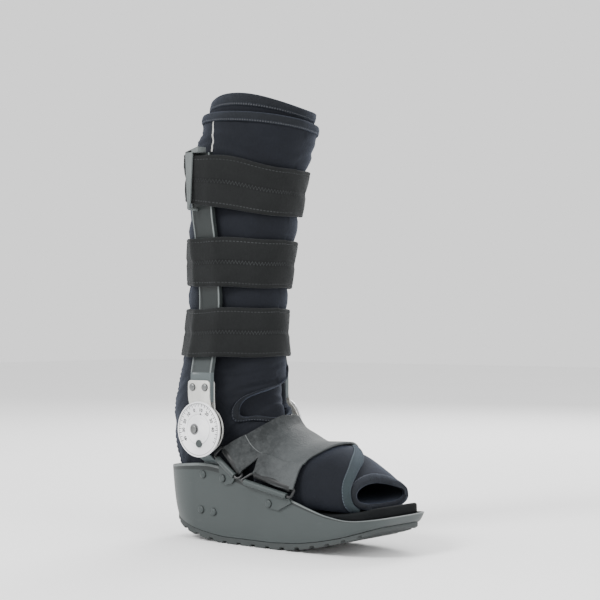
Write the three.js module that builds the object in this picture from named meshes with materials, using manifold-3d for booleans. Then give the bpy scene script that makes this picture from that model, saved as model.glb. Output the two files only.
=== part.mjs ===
// A walking boot brace: a grey rocker shell with a padded two-layer liner, hinged side uprights,
// three leg straps and a foot strap held in wire loops.
// Millimetres, +Z up. The toe points along +X and the right side is -Y.
// Shapes are laid out with x measured from the back of the heel, and the whole group is then
// moved so that the origin is on the floor under the middle of the shell.

import * as THREE from "three";
import { mergeVertices } from "three/addons/utils/BufferGeometryUtils.js";
import Module from "manifold-3d";

const wasm = await Module();
wasm.setup();

// Gap between pieces that touch on the real boot.
const gap = 0.4;

// Shell, outsole and footbed.
const shellLength = 294;
const forefootWidth = 112;
const heelWidth = 96;
const shellWall = 3;
const shellFloor = 4;
const wallDraft = 6;
const rimHeight = 82;
const toeRise = 26;
const heelRise = 26;
const outsoleThickness = 7;
const treadDepth = 2.4;
const treadCount = 15;
const treadGrooveShare = 0.28;
const toeThinning = 0.4;
const outsoleSetback = 0.5;
const heelCurve = 60;
const toeCurve = 64;
const toeSquareness = 3.9;
const planSteps = 9;
const footbedHeight = 40;
const footbedToeLift = 9;
const footbedToeSetback = 4;

// Liner: the padded boot and its inner layer.
const collarBackHeight = 453;
const ankleWidth = 106;
const outerWall = 4.5;
const innerWall = 4;
const sheetClearance = 1;
const flapClearance = 1.8;
const footStrapClearance = 2.3;
const innerClearance = 1;
const collarCrown = 9;
const collarRoll = 6;
const tapeThickness = 1.2;
const flapThickness = 2.5;
const flapRear = 4.5;

// Widths of the tapes, counted in sections of the liner's table or as two scales of the notch.
const bindingRows = 0.45;
const collarBindingRows = 0.6;
const flapBindingRows = 0.36;
const notchBindingInner = 1.0;
const notchBindingOuter = 1.14;

// Hinges and uprights.
const hingeFromHeel = 84;
const hingeAboveRim = 36;
const hingeHeight = rimHeight + hingeAboveRim;
const hingePlateWidth = 29;
const hingePlateThickness = 2;
const hingeArmReach = 50;
const hingePlateTop = hingeHeight + hingeArmReach;
const outerDiscRadius = 27;
const innerDiscRadius = 24.5;
const hingePlateCorner = 4;
const hingeArmLean = 2;
const dialRadius = 28.5;
const dialThickness = 2;
const hingeOuterFace = 68;
const eyeRadius = 15;
const eyeHeight = 0.5;
const footPlateThickness = 2.5;
const footPlateDisc = 22;
const pivotOffset = -5;
const pivotRadius = 3;
const pivotHeadRadius = 4.6;
const pivotHeadHeight = 1.8;
const stopButtonRadius = 4;
const stopButtonHeight = 0.8;
const stopAhead = 1.5;
const stopBelow = 14.5;
const uprightWidth = 28;
const uprightThickness = 5;
const uprightSetForward = 1;
const uprightBelowCollar = 52;
const uprightTop = collarBackHeight - uprightBelowCollar;
const uprightEdgeWidth = 2.4;
const uprightEdgeHeight = 1.2;
const keeperClearance = 1.6;
const keeperThickness = 2.5;
const keeperHeight = 57;
const keeperLip = 3.5;
const lipReach = 20;

// Rivets.
const rivetShankRadius = 2;
const rivetHeadRadius = 4;
const rivetHeadHeight = 1.8;
const hingeRivetSpacing = 17;
const hingeRivetDrop = 7;

// Straps, wire loops and their anchors.
const legStrapWidth = 49;
const legStrapThickness = 4.5;
const legStrapClearance = 1;
const strapStepsAlongUpright = 3;
const strapStepsRound = 16;
const footStrapThickness = 2.2;
const footStrapStandOff = 3;
const wireRadius = 1.5;
const wireSides = 6;
const loopOverhang = 4.5;
const loopCorner = 3;
const anchorThickness = 1.6;
const anchorClearance = 0.6;
const rollRadius = 3.2;

const sides = 12;
const rivetSides = 8;
const discSides = 28;
const linerSides = 30;

const materials = {
  shell: new THREE.MeshStandardMaterial({ color: 0x676f6f, roughness: 0.55, metalness: 0 }),
  outsole: new THREE.MeshStandardMaterial({ color: 0x565d5d, roughness: 0.8, metalness: 0 }),
  foam: new THREE.MeshStandardMaterial({ color: 0x26282b, roughness: 0.95, metalness: 0 }),
  liner: new THREE.MeshStandardMaterial({ color: 0x26282e, roughness: 0.9, metalness: 0 }),
  tape: new THREE.MeshStandardMaterial({ color: 0x33373b, roughness: 0.85, metalness: 0 }),
  upright: new THREE.MeshStandardMaterial({ color: 0x5c6463, roughness: 0.45, metalness: 0.2 }),
  plate: new THREE.MeshStandardMaterial({ color: 0xc9cac8, roughness: 0.35, metalness: 0.8 }),
  dial: new THREE.MeshStandardMaterial({ color: 0xe6e7e8, roughness: 0.3, metalness: 0.5 }),
  wire: new THREE.MeshStandardMaterial({ color: 0x16181a, roughness: 0.3, metalness: 0.6 }),
  footStrap: new THREE.MeshStandardMaterial({ color: 0x666c6d, roughness: 0.6, metalness: 0 }),
  legStrap: new THREE.MeshStandardMaterial({ color: 0x2a2d2e, roughness: 0.95, metalness: 0 }),
};

const boot = new THREE.Group();
boot.position.x = -shellLength / 2;

function addPiece(name, geometry, material) {
  const mesh = new THREE.Mesh(geometry, material);
  mesh.name = name;
  boot.add(mesh);
}

// Solid from a closed surface whose faces all point out.
function solidOf(geometry) {
  const bare = geometry.index ? geometry.toNonIndexed() : geometry.clone();
  bare.deleteAttribute("normal");
  bare.deleteAttribute("uv");
  const merged = mergeVertices(bare, 1e-4);
  return new wasm.Manifold(
    new wasm.Mesh({
      numProp: 3,
      vertProperties: merged.attributes.position.array,
      triVerts: new Uint32Array(merged.index.array),
    }),
  );
}

// The largest body of a cut solid, without the slivers that a cut leaves.
function mainBody(solid) {
  return solid.decompose().reduce((best, body) => (body.volume() > best.volume() ? body : best));
}

function geometryOf(solid) {
  const mesh = solid.getMesh();
  const geometry = new THREE.BufferGeometry();
  geometry.setAttribute("position", new THREE.BufferAttribute(mesh.vertProperties, 3));
  geometry.setIndex(new THREE.BufferAttribute(mesh.triVerts, 1));
  geometry.computeVertexNormals();
  return geometry;
}

function meshGeometry(positions, index) {
  const geometry = new THREE.BufferGeometry();
  geometry.setAttribute("position", new THREE.Float32BufferAttribute(positions, 3));
  geometry.setIndex(index);
  return geometry;
}

// Faces between rings of count points, in order.
function ringBands(bands, ringCount, count) {
  const index = [];
  for (let i = 0; i < bands; i++) {
    const next = (i + 1) % ringCount;
    for (let k = 0; k < count; k++) {
      const after = (k + 1) % count;
      const a = i * count + k;
      const b = i * count + after;
      const c = next * count + after;
      const d = next * count + k;
      index.push(a, b, c, a, c, d);
    }
  }
  return index;
}

// Surface through rings of points that all have the same count. The last ring joins the first
// when loop is true. Otherwise each end is closed: by a fan, or when the rings are flat strips
// that run out along one face and back along the other, by rungs across the strip.
function ringSurface(rings, loop, strips = false) {
  const count = rings[0].length;
  const positions = rings.flat().flatMap((p) => [p.x, p.y, p.z]);
  const index = ringBands(loop ? rings.length : rings.length - 1, rings.length, count);
  if (!loop) {
    const close = strips ? capRungs : capFan;
    close(index, positions, rings[0], 0, true);
    close(index, positions, rings[rings.length - 1], (rings.length - 1) * count, false);
  }
  return facingOut(meshGeometry(positions, index));
}

function capFan(index, positions, ring, start, backwards) {
  const centre = ring.reduce((sum, p) => sum.add(p), new THREE.Vector3());
  centre.divideScalar(ring.length);
  const hub = positions.length / 3;
  positions.push(centre.x, centre.y, centre.z);
  for (let k = 0; k < ring.length; k++) {
    const after = (k + 1) % ring.length;
    if (backwards) index.push(hub, start + after, start + k);
    else index.push(hub, start + k, start + after);
  }
}

function capRungs(index, positions, ring, start, backwards) {
  const count = ring.length;
  for (let k = 0; k + 1 < count / 2; k++) {
    const a = start + k;
    const b = start + k + 1;
    const c = start + count - 2 - k;
    const d = start + count - 1 - k;
    if (backwards) index.push(a, c, b, a, d, c);
    else index.push(a, b, c, a, c, d);
  }
}

// Turns every face round if the closed surface encloses a negative volume.
function facingOut(geometry) {
  const p = geometry.attributes.position;
  const index = geometry.index.array;
  const a = new THREE.Vector3();
  const b = new THREE.Vector3();
  const c = new THREE.Vector3();
  let volume = 0;
  for (let i = 0; i < index.length; i += 3) {
    a.fromBufferAttribute(p, index[i]);
    b.fromBufferAttribute(p, index[i + 1]);
    c.fromBufferAttribute(p, index[i + 2]);
    volume += a.dot(b.cross(c));
  }
  if (volume < 0) {
    for (let i = 0; i < index.length; i += 3) {
      [index[i + 1], index[i + 2]] = [index[i + 2], index[i + 1]];
    }
  }
  geometry.computeVertexNormals();
  return geometry;
}

// Plate with an outline in x and z, between two distances from the centre plane on the right side.
function sidePlate(shape, innerY, thickness) {
  const geometry = new THREE.ExtrudeGeometry(shape, {
    depth: thickness,
    bevelEnabled: false,
    curveSegments: 12,
  });
  geometry.rotateX(Math.PI / 2);
  geometry.translate(0, -innerY, 0);
  return geometry;
}

// Round bar along Y on the right side, from the distance innerY outwards.
function sideBar(x, z, radius, innerY, length, segments = sides) {
  const geometry = new THREE.CylinderGeometry(radius, radius, length, segments);
  geometry.translate(x, -innerY - length / 2, z);
  return geometry;
}

// Straight-line reading of a table: rows are sorted by the column named key.
function readTable(rows, key, at) {
  const last = rows.length - 1;
  if (at <= rows[0][key]) return { ...rows[0] };
  if (at >= rows[last][key]) return { ...rows[last] };
  const i = rows.findIndex((row) => row[key] > at);
  const low = rows[i - 1];
  const high = rows[i];
  const share = (at - low[key]) / (high[key] - low[key]);
  const out = {};
  for (const name of Object.keys(low)) out[name] = low[name] + (high[name] - low[name]) * share;
  return out;
}

// Table rows with named columns.
function table(columns, rows) {
  return rows.map((row) => Object.fromEntries(columns.map((name, i) => [name, row[i]])));
}

// Shell

// Rim: along is a share of the shell's length, height a share of the rim's highest point.
const rimRows = table(["along", "height"], [
  [0.0, 0.915],
  [0.07, 0.935],
  [0.17, 0.98],
  [0.26, 1.0],
  [0.33, 0.975],
  [0.425, 0.85],
  [0.5, 0.78],
  [0.6, 0.705],
  [0.67, 0.63],
  [0.74, 0.555],
  [0.82, 0.485],
  [0.9, 0.455],
  [1.0, 0.485],
]);

// Rocker underside: rise is a share of the heel's rise behind the flat, or of the toe's ahead of it.
const heelRocker = table(["along", "rise"], [
  [0.0, 1.0],
  [0.04, 0.75],
  [0.1, 0.48],
  [0.18, 0.24],
  [0.26, 0.08],
  [0.33, 0.0],
]);
const toeRocker = table(["along", "rise"], [
  [0.56, 0.0],
  [0.65, 0.08],
  [0.74, 0.24],
  [0.83, 0.46],
  [0.92, 0.74],
  [1.0, 1.0],
]);

// Wall from the rim down to the underside: inset is a share of the draft.
const wallRows = table(["down", "inset"], [
  [0, 0],
  [0.4, 0.26],
  [0.7, 0.52],
  [0.88, 0.76],
  [1, 1],
]);

function rimZ(x) {
  return rimHeight * readTable(rimRows, "along", x / shellLength).height;
}

function rockerZ(x) {
  const along = x / shellLength;
  if (along < toeRocker[0].along) return heelRise * readTable(heelRocker, "along", along).rise;
  return toeRise * readTable(toeRocker, "along", along).rise;
}

// Upper face of the outsole, which thins towards the toe.
function outsoleTopZ(x) {
  const thinning = 1 - toeThinning * THREE.MathUtils.clamp(x / shellLength / 0.4 - 1.5, 0, 1);
  return rockerZ(x) + outsoleThickness * thinning;
}

function undersideZ(x) {
  return outsoleTopZ(x) + gap;
}

function floorZ(x) {
  return undersideZ(x) + shellFloor;
}

function wallInset(down) {
  return wallDraft * readTable(wallRows, "down", down).inset;
}

// Half-width of the rim along its straight sides.
function sideHalf(x) {
  const share = (x - heelCurve) / (shellLength - toeCurve - heelCurve);
  const widening = (forefootWidth - heelWidth) / 2;
  return heelWidth / 2 + widening * THREE.MathUtils.clamp(share, 0, 1);
}

// Half of the rim's plan outline: an ellipse round the heel, nearly straight sides and a toe
// squared as a superellipse.
function planHalf() {
  const points = [];
  for (let i = 0; i <= planSteps; i++) {
    const turn = ((i / planSteps) * Math.PI) / 2;
    const x = heelCurve * (1 - Math.cos(turn));
    points.push({ x, y: (heelWidth / 2) * Math.sin(turn) });
  }
  const sideEnd = shellLength - toeCurve;
  for (let i = 1; i < planSteps; i++) {
    const x = heelCurve + ((sideEnd - heelCurve) * i) / planSteps;
    points.push({ x, y: sideHalf(x) });
  }
  const power = 2 / toeSquareness;
  for (let i = 0; i <= planSteps; i++) {
    const turn = ((i / planSteps) * Math.PI) / 2;
    const x = sideEnd + toeCurve * Math.sin(turn) ** power;
    points.push({ x, y: (forefootWidth / 2) * Math.cos(turn) ** power });
  }
  points[points.length - 1].y = 0;
  return points;
}

// Closed ring along the plan outline, moved inwards square to itself. The inset and the height
// are functions of the home x, which is the point's x on the rim.
function planRing(insetAt, heightAt) {
  const half = planHalf();
  const moved = half.map((p, i) => {
    const before = i > 0 ? half[i - 1] : { x: half[1].x, y: -half[1].y };
    const after = i < half.length - 1 ? half[i + 1] : { x: half[i - 1].x, y: -half[i - 1].y };
    const along = new THREE.Vector2(after.x - before.x, after.y - before.y).normalize();
    const inset = insetAt(p.x);
    const y = Math.max(p.y - along.x * inset, 0);
    return new THREE.Vector3(p.x + along.y * inset, -y, heightAt(p.x));
  });
  const mirror = moved.slice(1, -1).reverse();
  return [...moved, ...mirror.map((p) => new THREE.Vector3(p.x, -p.y, p.z))];
}

// Surface through plan rings in order. The first and last are closed by strips straight across
// from side to side, which suits faces whose height changes only along the boot.
function crossCapped(rings) {
  const count = rings[0].length;
  const positions = rings.flat().flatMap((p) => [p.x, p.y, p.z]);
  const index = ringBands(rings.length - 1, rings.length, count);
  const ends = [
    { start: 0, flip: true },
    { start: (rings.length - 1) * count, flip: false },
  ];
  for (const { start, flip } of ends) {
    for (let k = 0; k < count / 2; k++) {
      const a = start + k;
      const b = start + k + 1;
      const c = start + ((count - k - 1) % count);
      const d = start + ((count - k) % count);
      if (b !== c) index.push(...(flip ? [a, c, b] : [a, b, c]));
      if (a !== d) index.push(...(flip ? [a, d, c] : [a, c, d]));
    }
  }
  return facingOut(meshGeometry(positions, index));
}

function shellWallRing(down, within, bottomAt) {
  const inset = wallInset(down) + within;
  return planRing(() => inset, (x) => rimZ(x) + (bottomAt(x) - rimZ(x)) * down);
}

function shellSolid() {
  const levels = wallRows.map((row) => row.down);
  const outer = levels.map((down) => shellWallRing(down, 0, undersideZ));
  const inner = levels.map((down) => shellWallRing(down, shellWall, floorZ)).reverse();
  return solidOf(crossCapped([...inner, ...outer]));
}

// Outsole: a slab between the rocker and its upper face, with cross grooves at an even pitch.
function outsoleSolid() {
  const inset = () => wallDraft + outsoleSetback;
  let solid = solidOf(crossCapped([planRing(inset, outsoleTopZ), planRing(inset, rockerZ)]));
  const pitch = shellLength / treadCount;
  const width = pitch * treadGrooveShare;
  for (let i = 1; i < treadCount; i++) {
    const groove = new THREE.BoxGeometry(width, forefootWidth * 2, 2 * treadDepth);
    groove.translate(pitch * i, 0, rockerZ(pitch * i));
    solid = solid.subtract(solidOf(groove));
  }
  return solid;
}

// Depth below the rim, as a share of the wall, at a height inside the shell.
function downAt(x, z) {
  return THREE.MathUtils.clamp((rimZ(x) - z) / (rimZ(x) - floorZ(x)), 0, 1);
}

function toeShare(x) {
  return THREE.MathUtils.clamp((x / shellLength - 0.78) / 0.22, 0, 1);
}

function footbedTopZ(x) {
  return footbedHeight + footbedToeLift * toeShare(x) ** 1.4;
}

// Footbed: fills the shell's inside up to its own upper face.
function footbedSolid() {
  const bottom = (x) => floorZ(x) + gap;
  const rings = [0, 0.5, 1].map((share) => {
    const heightAt = (x) => footbedTopZ(x) * (1 - share) + bottom(x) * share;
    const clear = (x) => shellWall + 2 * gap + footbedToeSetback * toeShare(x);
    return planRing((x) => wallInset(downAt(x, heightAt(x))) + clear(x), heightAt);
  });
  return solidOf(crossCapped(rings));
}

// Liner

// Height of a level: 0 on the floor, 1 at the hinge axis, 2 at the top of the collar.
function heightOf(level) {
  if (level <= 1) return level * hingeHeight;
  return hingeHeight + (level - 1) * (collarBackHeight - hingeHeight);
}

// Sections of the padded boot from the toe opening to the collar. front and back are shares of
// the shell's length to the section's upper or front point and to its sole or rear point, each
// with its level. A section with sole 1 stands on the footbed. width is a share of the ankle
// width, taper narrows the sole or rear end, and boxy below 1 squares that end.
const linerRows = table(
  ["front", "frontLevel", "back", "backLevel", "sole", "width", "taper", "boxy"],
  [
    [0.905, 0.6, 0.918, 0, 1, 0.78, 1, 0.72],
    [0.85, 0.72, 0.84, 0, 1, 0.83, 1, 0.68],
    [0.75, 0.84, 0.73, 0, 1, 0.86, 1, 0.66],
    [0.65, 0.835, 0.61, 0, 1, 0.84, 0.98, 0.66],
    [0.565, 0.915, 0.5, 0, 1, 0.81, 0.95, 0.68],
    [0.515, 0.985, 0.37, 0, 1, 0.79, 0.9, 0.7],
    [0.485, 1.035, 0.24, 0, 1, 0.785, 0.86, 0.74],
    [0.468, 1.076, 0.125, 0, 1, 0.79, 0.82, 0.8],
    [0.458, 1.097, 0.055, 0.46, 0, 0.84, 0.8, 0.9],
    [0.452, 1.121, 0.024, 0.74, 0, 0.93, 0.88, 0.95],
    [0.448, 1.148, 0.018, 1.021, 0, 1, 0.95, 1],
    [0.446, 1.184, 0.038, 1.116, 0, 0.97, 1, 1],
    [0.444, 1.232, 0.064, 1.211, 0, 0.9, 1, 1],
    [0.444, 1.306, 0.083, 1.3, 0, 0.845, 1, 1],
    [0.452, 1.395, 0.09, 1.395, 0, 0.83, 1, 1],
    [0.47, 1.511, 0.094, 1.516, 0, 0.88, 1, 1],
    [0.493, 1.643, 0.102, 1.653, 0, 0.975, 1, 1],
    [0.519, 1.769, 0.117, 1.79, 0, 1.05, 1, 1],
    [0.545, 1.835, 0.144, 1.877, 0, 1.06, 1, 1],
    [0.573, 1.885, 0.161, 1.915, 0, 1.07, 1, 1],
    [0.583, 1.937, 0.17, 1.957, 0, 1.06, 1, 1],
    [0.597, 1.972, 0.18, 1.982, 0, 1.05, 1, 1],
  ],
);
const lastRow = linerRows.length - 1;
const outerTopRow = 20;
const innerStartRow = 3;
const rollStartRow = 18;

// Value of a column between two rows.
function linerValue(name, position) {
  const low = Math.min(Math.floor(position), lastRow - 1);
  return THREE.MathUtils.lerp(linerRows[low][name], linerRows[low + 1][name], position - low);
}

// Front and rear points of a section.
function linerEnds(position) {
  const low = Math.min(Math.floor(position), lastRow - 1);
  const place = (row, end) => {
    const r = linerRows[row];
    const x = r[end] * shellLength;
    const onSole = end === "back" && r.sole;
    return new THREE.Vector3(x, 0, onSole ? footbedTopZ(x) + gap : heightOf(r[end + "Level"]));
  };
  const between = (end) => place(low, end).lerp(place(low + 1, end), position - low);
  return { front: between("front"), back: between("back") };
}

// Point of the liner's outer face: position counts the rows, and turn runs from 0 at the upper
// or front point through a quarter on the right side to the sole or rear point. outset moves it
// out of the face, and lift moves it on towards the next section.
function linerPoint(position, turn, outset = 0, lift = 0) {
  const { front, back } = linerEnds(position);
  const across = front.clone().sub(back);
  const reach = across.length() / 2 + outset;
  across.normalize();
  const onward = new THREE.Vector3(-across.z, 0, across.x);
  const half = (linerValue("width", position) * ankleWidth) / 2 + outset;
  const ahead = Math.cos(turn);
  const aside = Math.sin(turn);
  const power = ahead < 0 ? linerValue("boxy", position) : 1;
  const up = Math.sign(ahead) * Math.abs(ahead) ** power;
  const out = Math.sign(aside) * Math.abs(aside) ** power;
  const narrowing = ((1 - linerValue("taper", position)) * Math.max(0, 0.3 - up)) / 1.3;
  const crown = collarCrown * THREE.MathUtils.clamp(position - outerTopRow, 0, 1);
  const roll = collarRoll * THREE.MathUtils.smoothstep(position, rollStartRow, outerTopRow);
  const point = front.add(back).multiplyScalar(0.5).addScaledVector(across, up * reach);
  point.addScaledVector(onward, lift);
  point.y = -out * half * (1 - narrowing);
  point.z += crown * aside ** 2 + roll * aside;
  return point;
}

function linerRing(position, outset, lift = 0) {
  const ring = [];
  for (let k = 0; k < linerSides; k++) {
    ring.push(linerPoint(position, (k / linerSides) * 2 * Math.PI, outset, lift));
  }
  return ring;
}

// Tube wall between two outsets, through every row from the first to the last position.
function linerTube(first, last, outerOutset, innerOutset) {
  const positions = [first];
  for (let row = Math.floor(first) + 1; row < last; row++) positions.push(row);
  positions.push(last);
  const outer = positions.map((p) => linerRing(p, outerOutset));
  const inner = positions.map((p) => linerRing(p, innerOutset)).reverse();
  return ringSurface([...outer, ...inner], true);
}

// Sheet that lies on the liner: at(u, v) gives position, turn in degrees and outset.
function linerSheet(uSteps, vSteps, thickness, at) {
  const layer = (extra) => {
    const rows = [];
    for (let i = 0; i <= uSteps; i++) {
      const row = [];
      for (let k = 0; k <= vSteps; k++) {
        const place = at(i / uSteps, k / vSteps);
        const turn = THREE.MathUtils.degToRad(place.turn);
        row.push(linerPoint(place.position, turn, place.outset + extra));
      }
      rows.push(row);
    }
    return rows;
  };
  const low = layer(0);
  const high = layer(thickness);
  const rings = low.map((row, i) => [...row, ...[...high[i]].reverse()]);
  return solidOf(ringSurface(rings, false, true));
}

// Notch over the instep, as an outline of turn in degrees and position.
const notchRows = table(["turn", "position"], [
  [53, 8.2],
  [49, 8.7],
  [40, 9.0],
  [28, 9.05],
  [14, 9.1],
  [0, 9.3],
  [-14, 9.8],
  [-26, 10.4],
  [-36, 11.0],
  [-46, 11.2],
  [-54, 10.8],
  [-54, 9.9],
  [-47, 8.8],
  [-36, 7.6],
  [-22, 6.6],
  [-6, 6.05],
  [10, 5.9],
  [24, 6.15],
  [36, 6.65],
  [46, 7.2],
  [52, 7.7],
]);
const notchMiddle = { turn: 2, position: 7.9 };

function notchRing(scale, outset) {
  return notchRows.flatMap((row, i) => {
    const next = notchRows[(i + 1) % notchRows.length];
    return [0, 0.5].map((share) => {
      const turn = THREE.MathUtils.lerp(row.turn, next.turn, share);
      const position = THREE.MathUtils.lerp(row.position, next.position, share);
      return linerPoint(
        THREE.MathUtils.lerp(notchMiddle.position, position, scale),
        THREE.MathUtils.degToRad(THREE.MathUtils.lerp(notchMiddle.turn, turn, scale)),
        outset,
      );
    });
  });
}

// Plug as deep as the outer layer, which cuts the notch.
function notchPlug() {
  const scales = [0.02, 0.35, 0.7, 1];
  const above = scales.map((scale) => notchRing(scale, outerWall));
  const below = scales.map((scale) => notchRing(scale, -outerWall - innerWall / 2)).reverse();
  return solidOf(ringSurface([...above, ...below], false));
}

function notchBindingSolid() {
  const low = sheetClearance;
  const high = sheetClearance + tapeThickness;
  const rings = [
    notchRing(notchBindingInner, low),
    notchRing(notchBindingOuter, low),
    notchRing(notchBindingOuter, high),
    notchRing(notchBindingInner, high),
  ];
  return solidOf(ringSurface(rings, true));
}

// Tape over the outer layer's top edge: down its outer face and across its end.
function topBindingSolid() {
  const row = outerTopRow;
  const far = gap + tapeThickness;
  const rings = [
    linerRing(row - bindingRows, sheetClearance),
    linerRing(row, sheetClearance, gap),
    linerRing(row, -outerWall / 2, gap),
    linerRing(row, -outerWall / 2, far),
    linerRing(row, sheetClearance + tapeThickness, far),
    linerRing(row - bindingRows, sheetClearance + tapeThickness),
  ];
  return solidOf(ringSurface(rings, true));
}

// Tape over the collar's top edge, on both of its faces.
function collarBindingSolid() {
  const low = lastRow - collarBindingRows;
  const outside = -outerWall - innerClearance;
  const inside = outside - innerWall;
  const far = gap + tapeThickness;
  const rings = [
    linerRing(low, outside + gap),
    linerRing(lastRow, outside + gap, gap),
    linerRing(lastRow, inside - gap, gap),
    linerRing(low, inside - gap),
    linerRing(low, inside - far),
    linerRing(lastRow, inside - far, far),
    linerRing(lastRow, outside + far, far),
    linerRing(low, outside + far),
  ];
  return solidOf(ringSurface(rings, true));
}

// Forefoot flap: edge is the position of its front edge at each turn.
const flapRows = table(["turn", "edge"], [
  [-32, 3.2],
  [-26, 2.3],
  [-14, 1.5],
  [2, 0.9],
  [22, 0.5],
  [50, 0.2],
  [88, 0.1],
  [128, 0.12],
  [135.5, 0.15],
]);
const flapStart = flapRows[0].turn;
const flapEnd = flapRows[flapRows.length - 1].turn;

function flapSolid() {
  return linerSheet(17, 9, flapThickness, (u, v) => {
    const turn = THREE.MathUtils.lerp(flapStart, flapEnd, u);
    const edge = readTable(flapRows, "turn", turn).edge;
    return { turn, position: THREE.MathUtils.lerp(edge, flapRear, v), outset: flapClearance };
  });
}

function flapBindingSolid() {
  return linerSheet(16, 2, tapeThickness, (u, v) => {
    const turn = THREE.MathUtils.lerp(flapStart + 22, flapEnd - 8, u);
    const edge = readTable(flapRows, "turn", turn).edge;
    return { turn, position: edge + v * flapBindingRows, outset: flapClearance + flapThickness + gap };
  });
}

// Foot strap: edges at each turn away from the top, as positions of the liner.
const footStrapEdges = table(["turn", "rear", "front"], [
  [0, 5.65, 1.9],
  [12, 5.75, 2.0],
  [34, 5.8, 2.2],
  [54, 6.0, 2.45],
  [72, 6.4, 2.5],
  [96, 6.8, 2.5],
]);
// Turn at which the strap ends on each side, from its rear edge to its front edge.
const footStrapEnds = table(["across", "turn"], [
  [0, 80],
  [0.2, 86],
  [0.42, 92],
  [0.55, 90],
  [1, 93],
]);
const rearLegShare = 0.42;
const frontLegShare = 0.54;
const cleftTopTurn = 71;

function footStrapPoint(side, across, extra) {
  const turn = side * readTable(footStrapEnds, "across", across).turn;
  const edges = readTable(footStrapEdges, "turn", Math.abs(turn));
  return {
    turn,
    position: THREE.MathUtils.lerp(edges.rear, edges.front, across),
    outset: flapClearance + flapThickness + footStrapClearance + extra,
  };
}

// Middle line of the strap's end at a share of its width, where a wire loop's bar runs.
function footStrapEndPoint(across) {
  const place = footStrapPoint(1, across, footStrapStandOff + footStrapThickness / 2);
  return linerPoint(place.position, THREE.MathUtils.degToRad(place.turn), place.outset);
}

// Wire loops: each has its upper bar in an end of the foot strap, between two shares of the
// strap's width, and its lower bar in an anchor, between two points as shares of the shell's
// length and of its rim height.
const endMargin = 0.03;
const loops = [
  { name: "rear", upper: [0, rearLegShare], anchor: [[0.333, 1.079], [0.415, 0.868]] },
  { name: "front", upper: [frontLegShare, 1], anchor: [[0.466, 0.817], [0.656, 0.683]] },
].map((loop) => {
  const upper = [loop.upper[0] + endMargin, loop.upper[1] - endMargin];
  const anchor = loop.anchor.map(([along, up]) => [along * shellLength, up * rimHeight]);
  return { ...loop, upper, anchor };
});

function wallOutside(x, z) {
  const share = THREE.MathUtils.clamp((rimZ(x) - z) / (rimZ(x) - undersideZ(x)), 0, 1);
  return sideHalf(x) - wallInset(share);
}

function anchorBar(loop) {
  const reach = Math.max(...loop.anchor.map(([x, z]) => wallOutside(x, z))) + gap + rollRadius;
  return loop.anchor.map(([x, z]) => new THREE.Vector3(x, -reach, z));
}

function strapBar(loop) {
  return loop.upper.map((across) => footStrapEndPoint(across));
}

// Round bar between two points, longer by extra at each end.
function barBetween(a, b, radius, extra = 0) {
  const along = b.clone().sub(a);
  const length = along.length() + 2 * extra;
  const geometry = new THREE.CylinderGeometry(radius, radius, length, sides);
  geometry.applyQuaternion(
    new THREE.Quaternion().setFromUnitVectors(new THREE.Vector3(0, 1, 0), along.normalize()),
  );
  const middle = a.clone().add(b).multiplyScalar(0.5);
  geometry.translate(middle.x, middle.y, middle.z);
  return solidOf(geometry);
}

// Closed wire through four corners, with its corners rounded.
function wireLoopSolid(loop) {
  const [lowA, lowB] = anchorBar(loop);
  const [topA, topB] = strapBar(loop);
  for (const [a, b] of [[lowA, lowB], [topA, topB]]) {
    const along = b.clone().sub(a).normalize();
    a.addScaledVector(along, -loopOverhang);
    b.addScaledVector(along, loopOverhang);
  }
  const corners = [lowA, lowB, topB, topA];
  const normal = topB.clone().sub(lowA).cross(topA.clone().sub(lowB)).normalize();
  const path = [];
  corners.forEach((corner, i) => {
    const before = corners[(i + 3) % 4].clone().sub(corner).normalize();
    const after = corners[(i + 1) % 4].clone().sub(corner).normalize();
    const from = corner.clone().addScaledVector(before, loopCorner);
    const to = corner.clone().addScaledVector(after, loopCorner);
    for (const t of [0, 0.33, 0.67, 1]) {
      const point = from.clone().multiplyScalar((1 - t) ** 2);
      point.addScaledVector(corner, 2 * t * (1 - t)).addScaledVector(to, t * t);
      path.push(point);
    }
  });
  const rings = path.map((point, i) => {
    const ahead = path[(i + 1) % path.length];
    const behind = path[(i + path.length - 1) % path.length];
    const outward = ahead.clone().sub(behind).normalize().cross(normal).normalize();
    const ring = [];
    for (let k = 0; k < wireSides; k++) {
      const turn = (k / wireSides) * 2 * Math.PI;
      const at = point.clone().addScaledVector(outward, Math.cos(turn) * wireRadius);
      ring.push(at.addScaledVector(normal, Math.sin(turn) * wireRadius));
    }
    return ring;
  });
  return solidOf(ringSurface(rings, true));
}

// Foot strap: a sheet over the instep, cleft into two ends a side, each rolled round a bar.
function footStrapSolid() {
  let solid = linerSheet(24, 12, footStrapThickness, (u, v) => {
    const side = 2 * u - 1;
    const standOff = footStrapStandOff * Math.abs(side) ** 5;
    return footStrapPoint(side, v, standOff);
  });
  for (const loop of loops) {
    const [a, b] = strapBar(loop);
    const sleeve = barBetween(a, b, wireRadius + gap + footStrapThickness);
    const bore = barBetween(a, b, wireRadius + gap, 8);
    for (const part of [sleeve, sleeve.mirror([0, 1, 0])]) solid = solid.add(part);
    for (const part of [bore, bore.mirror([0, 1, 0])]) solid = solid.subtract(part);
  }
  const low = linerPoint(...cleftCorner(rearLegShare)).setY(0);
  const high = linerPoint(...cleftCorner(frontLegShare)).setY(0);
  const top = linerPoint(cleftPosition(), THREE.MathUtils.degToRad(cleftTopTurn));
  const shape = new THREE.Shape([
    new THREE.Vector2(low.x, low.z),
    new THREE.Vector2(high.x, high.z),
    new THREE.Vector2(top.x, top.z),
  ]);
  const cleft = solidOf(sidePlate(shape, 20, forefootWidth));
  return mainBody(solid.subtract(cleft).subtract(cleft.mirror([0, 1, 0])));
}

function cleftPosition() {
  return footStrapPoint(1, (rearLegShare + frontLegShare) / 2, 0).position;
}

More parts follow.
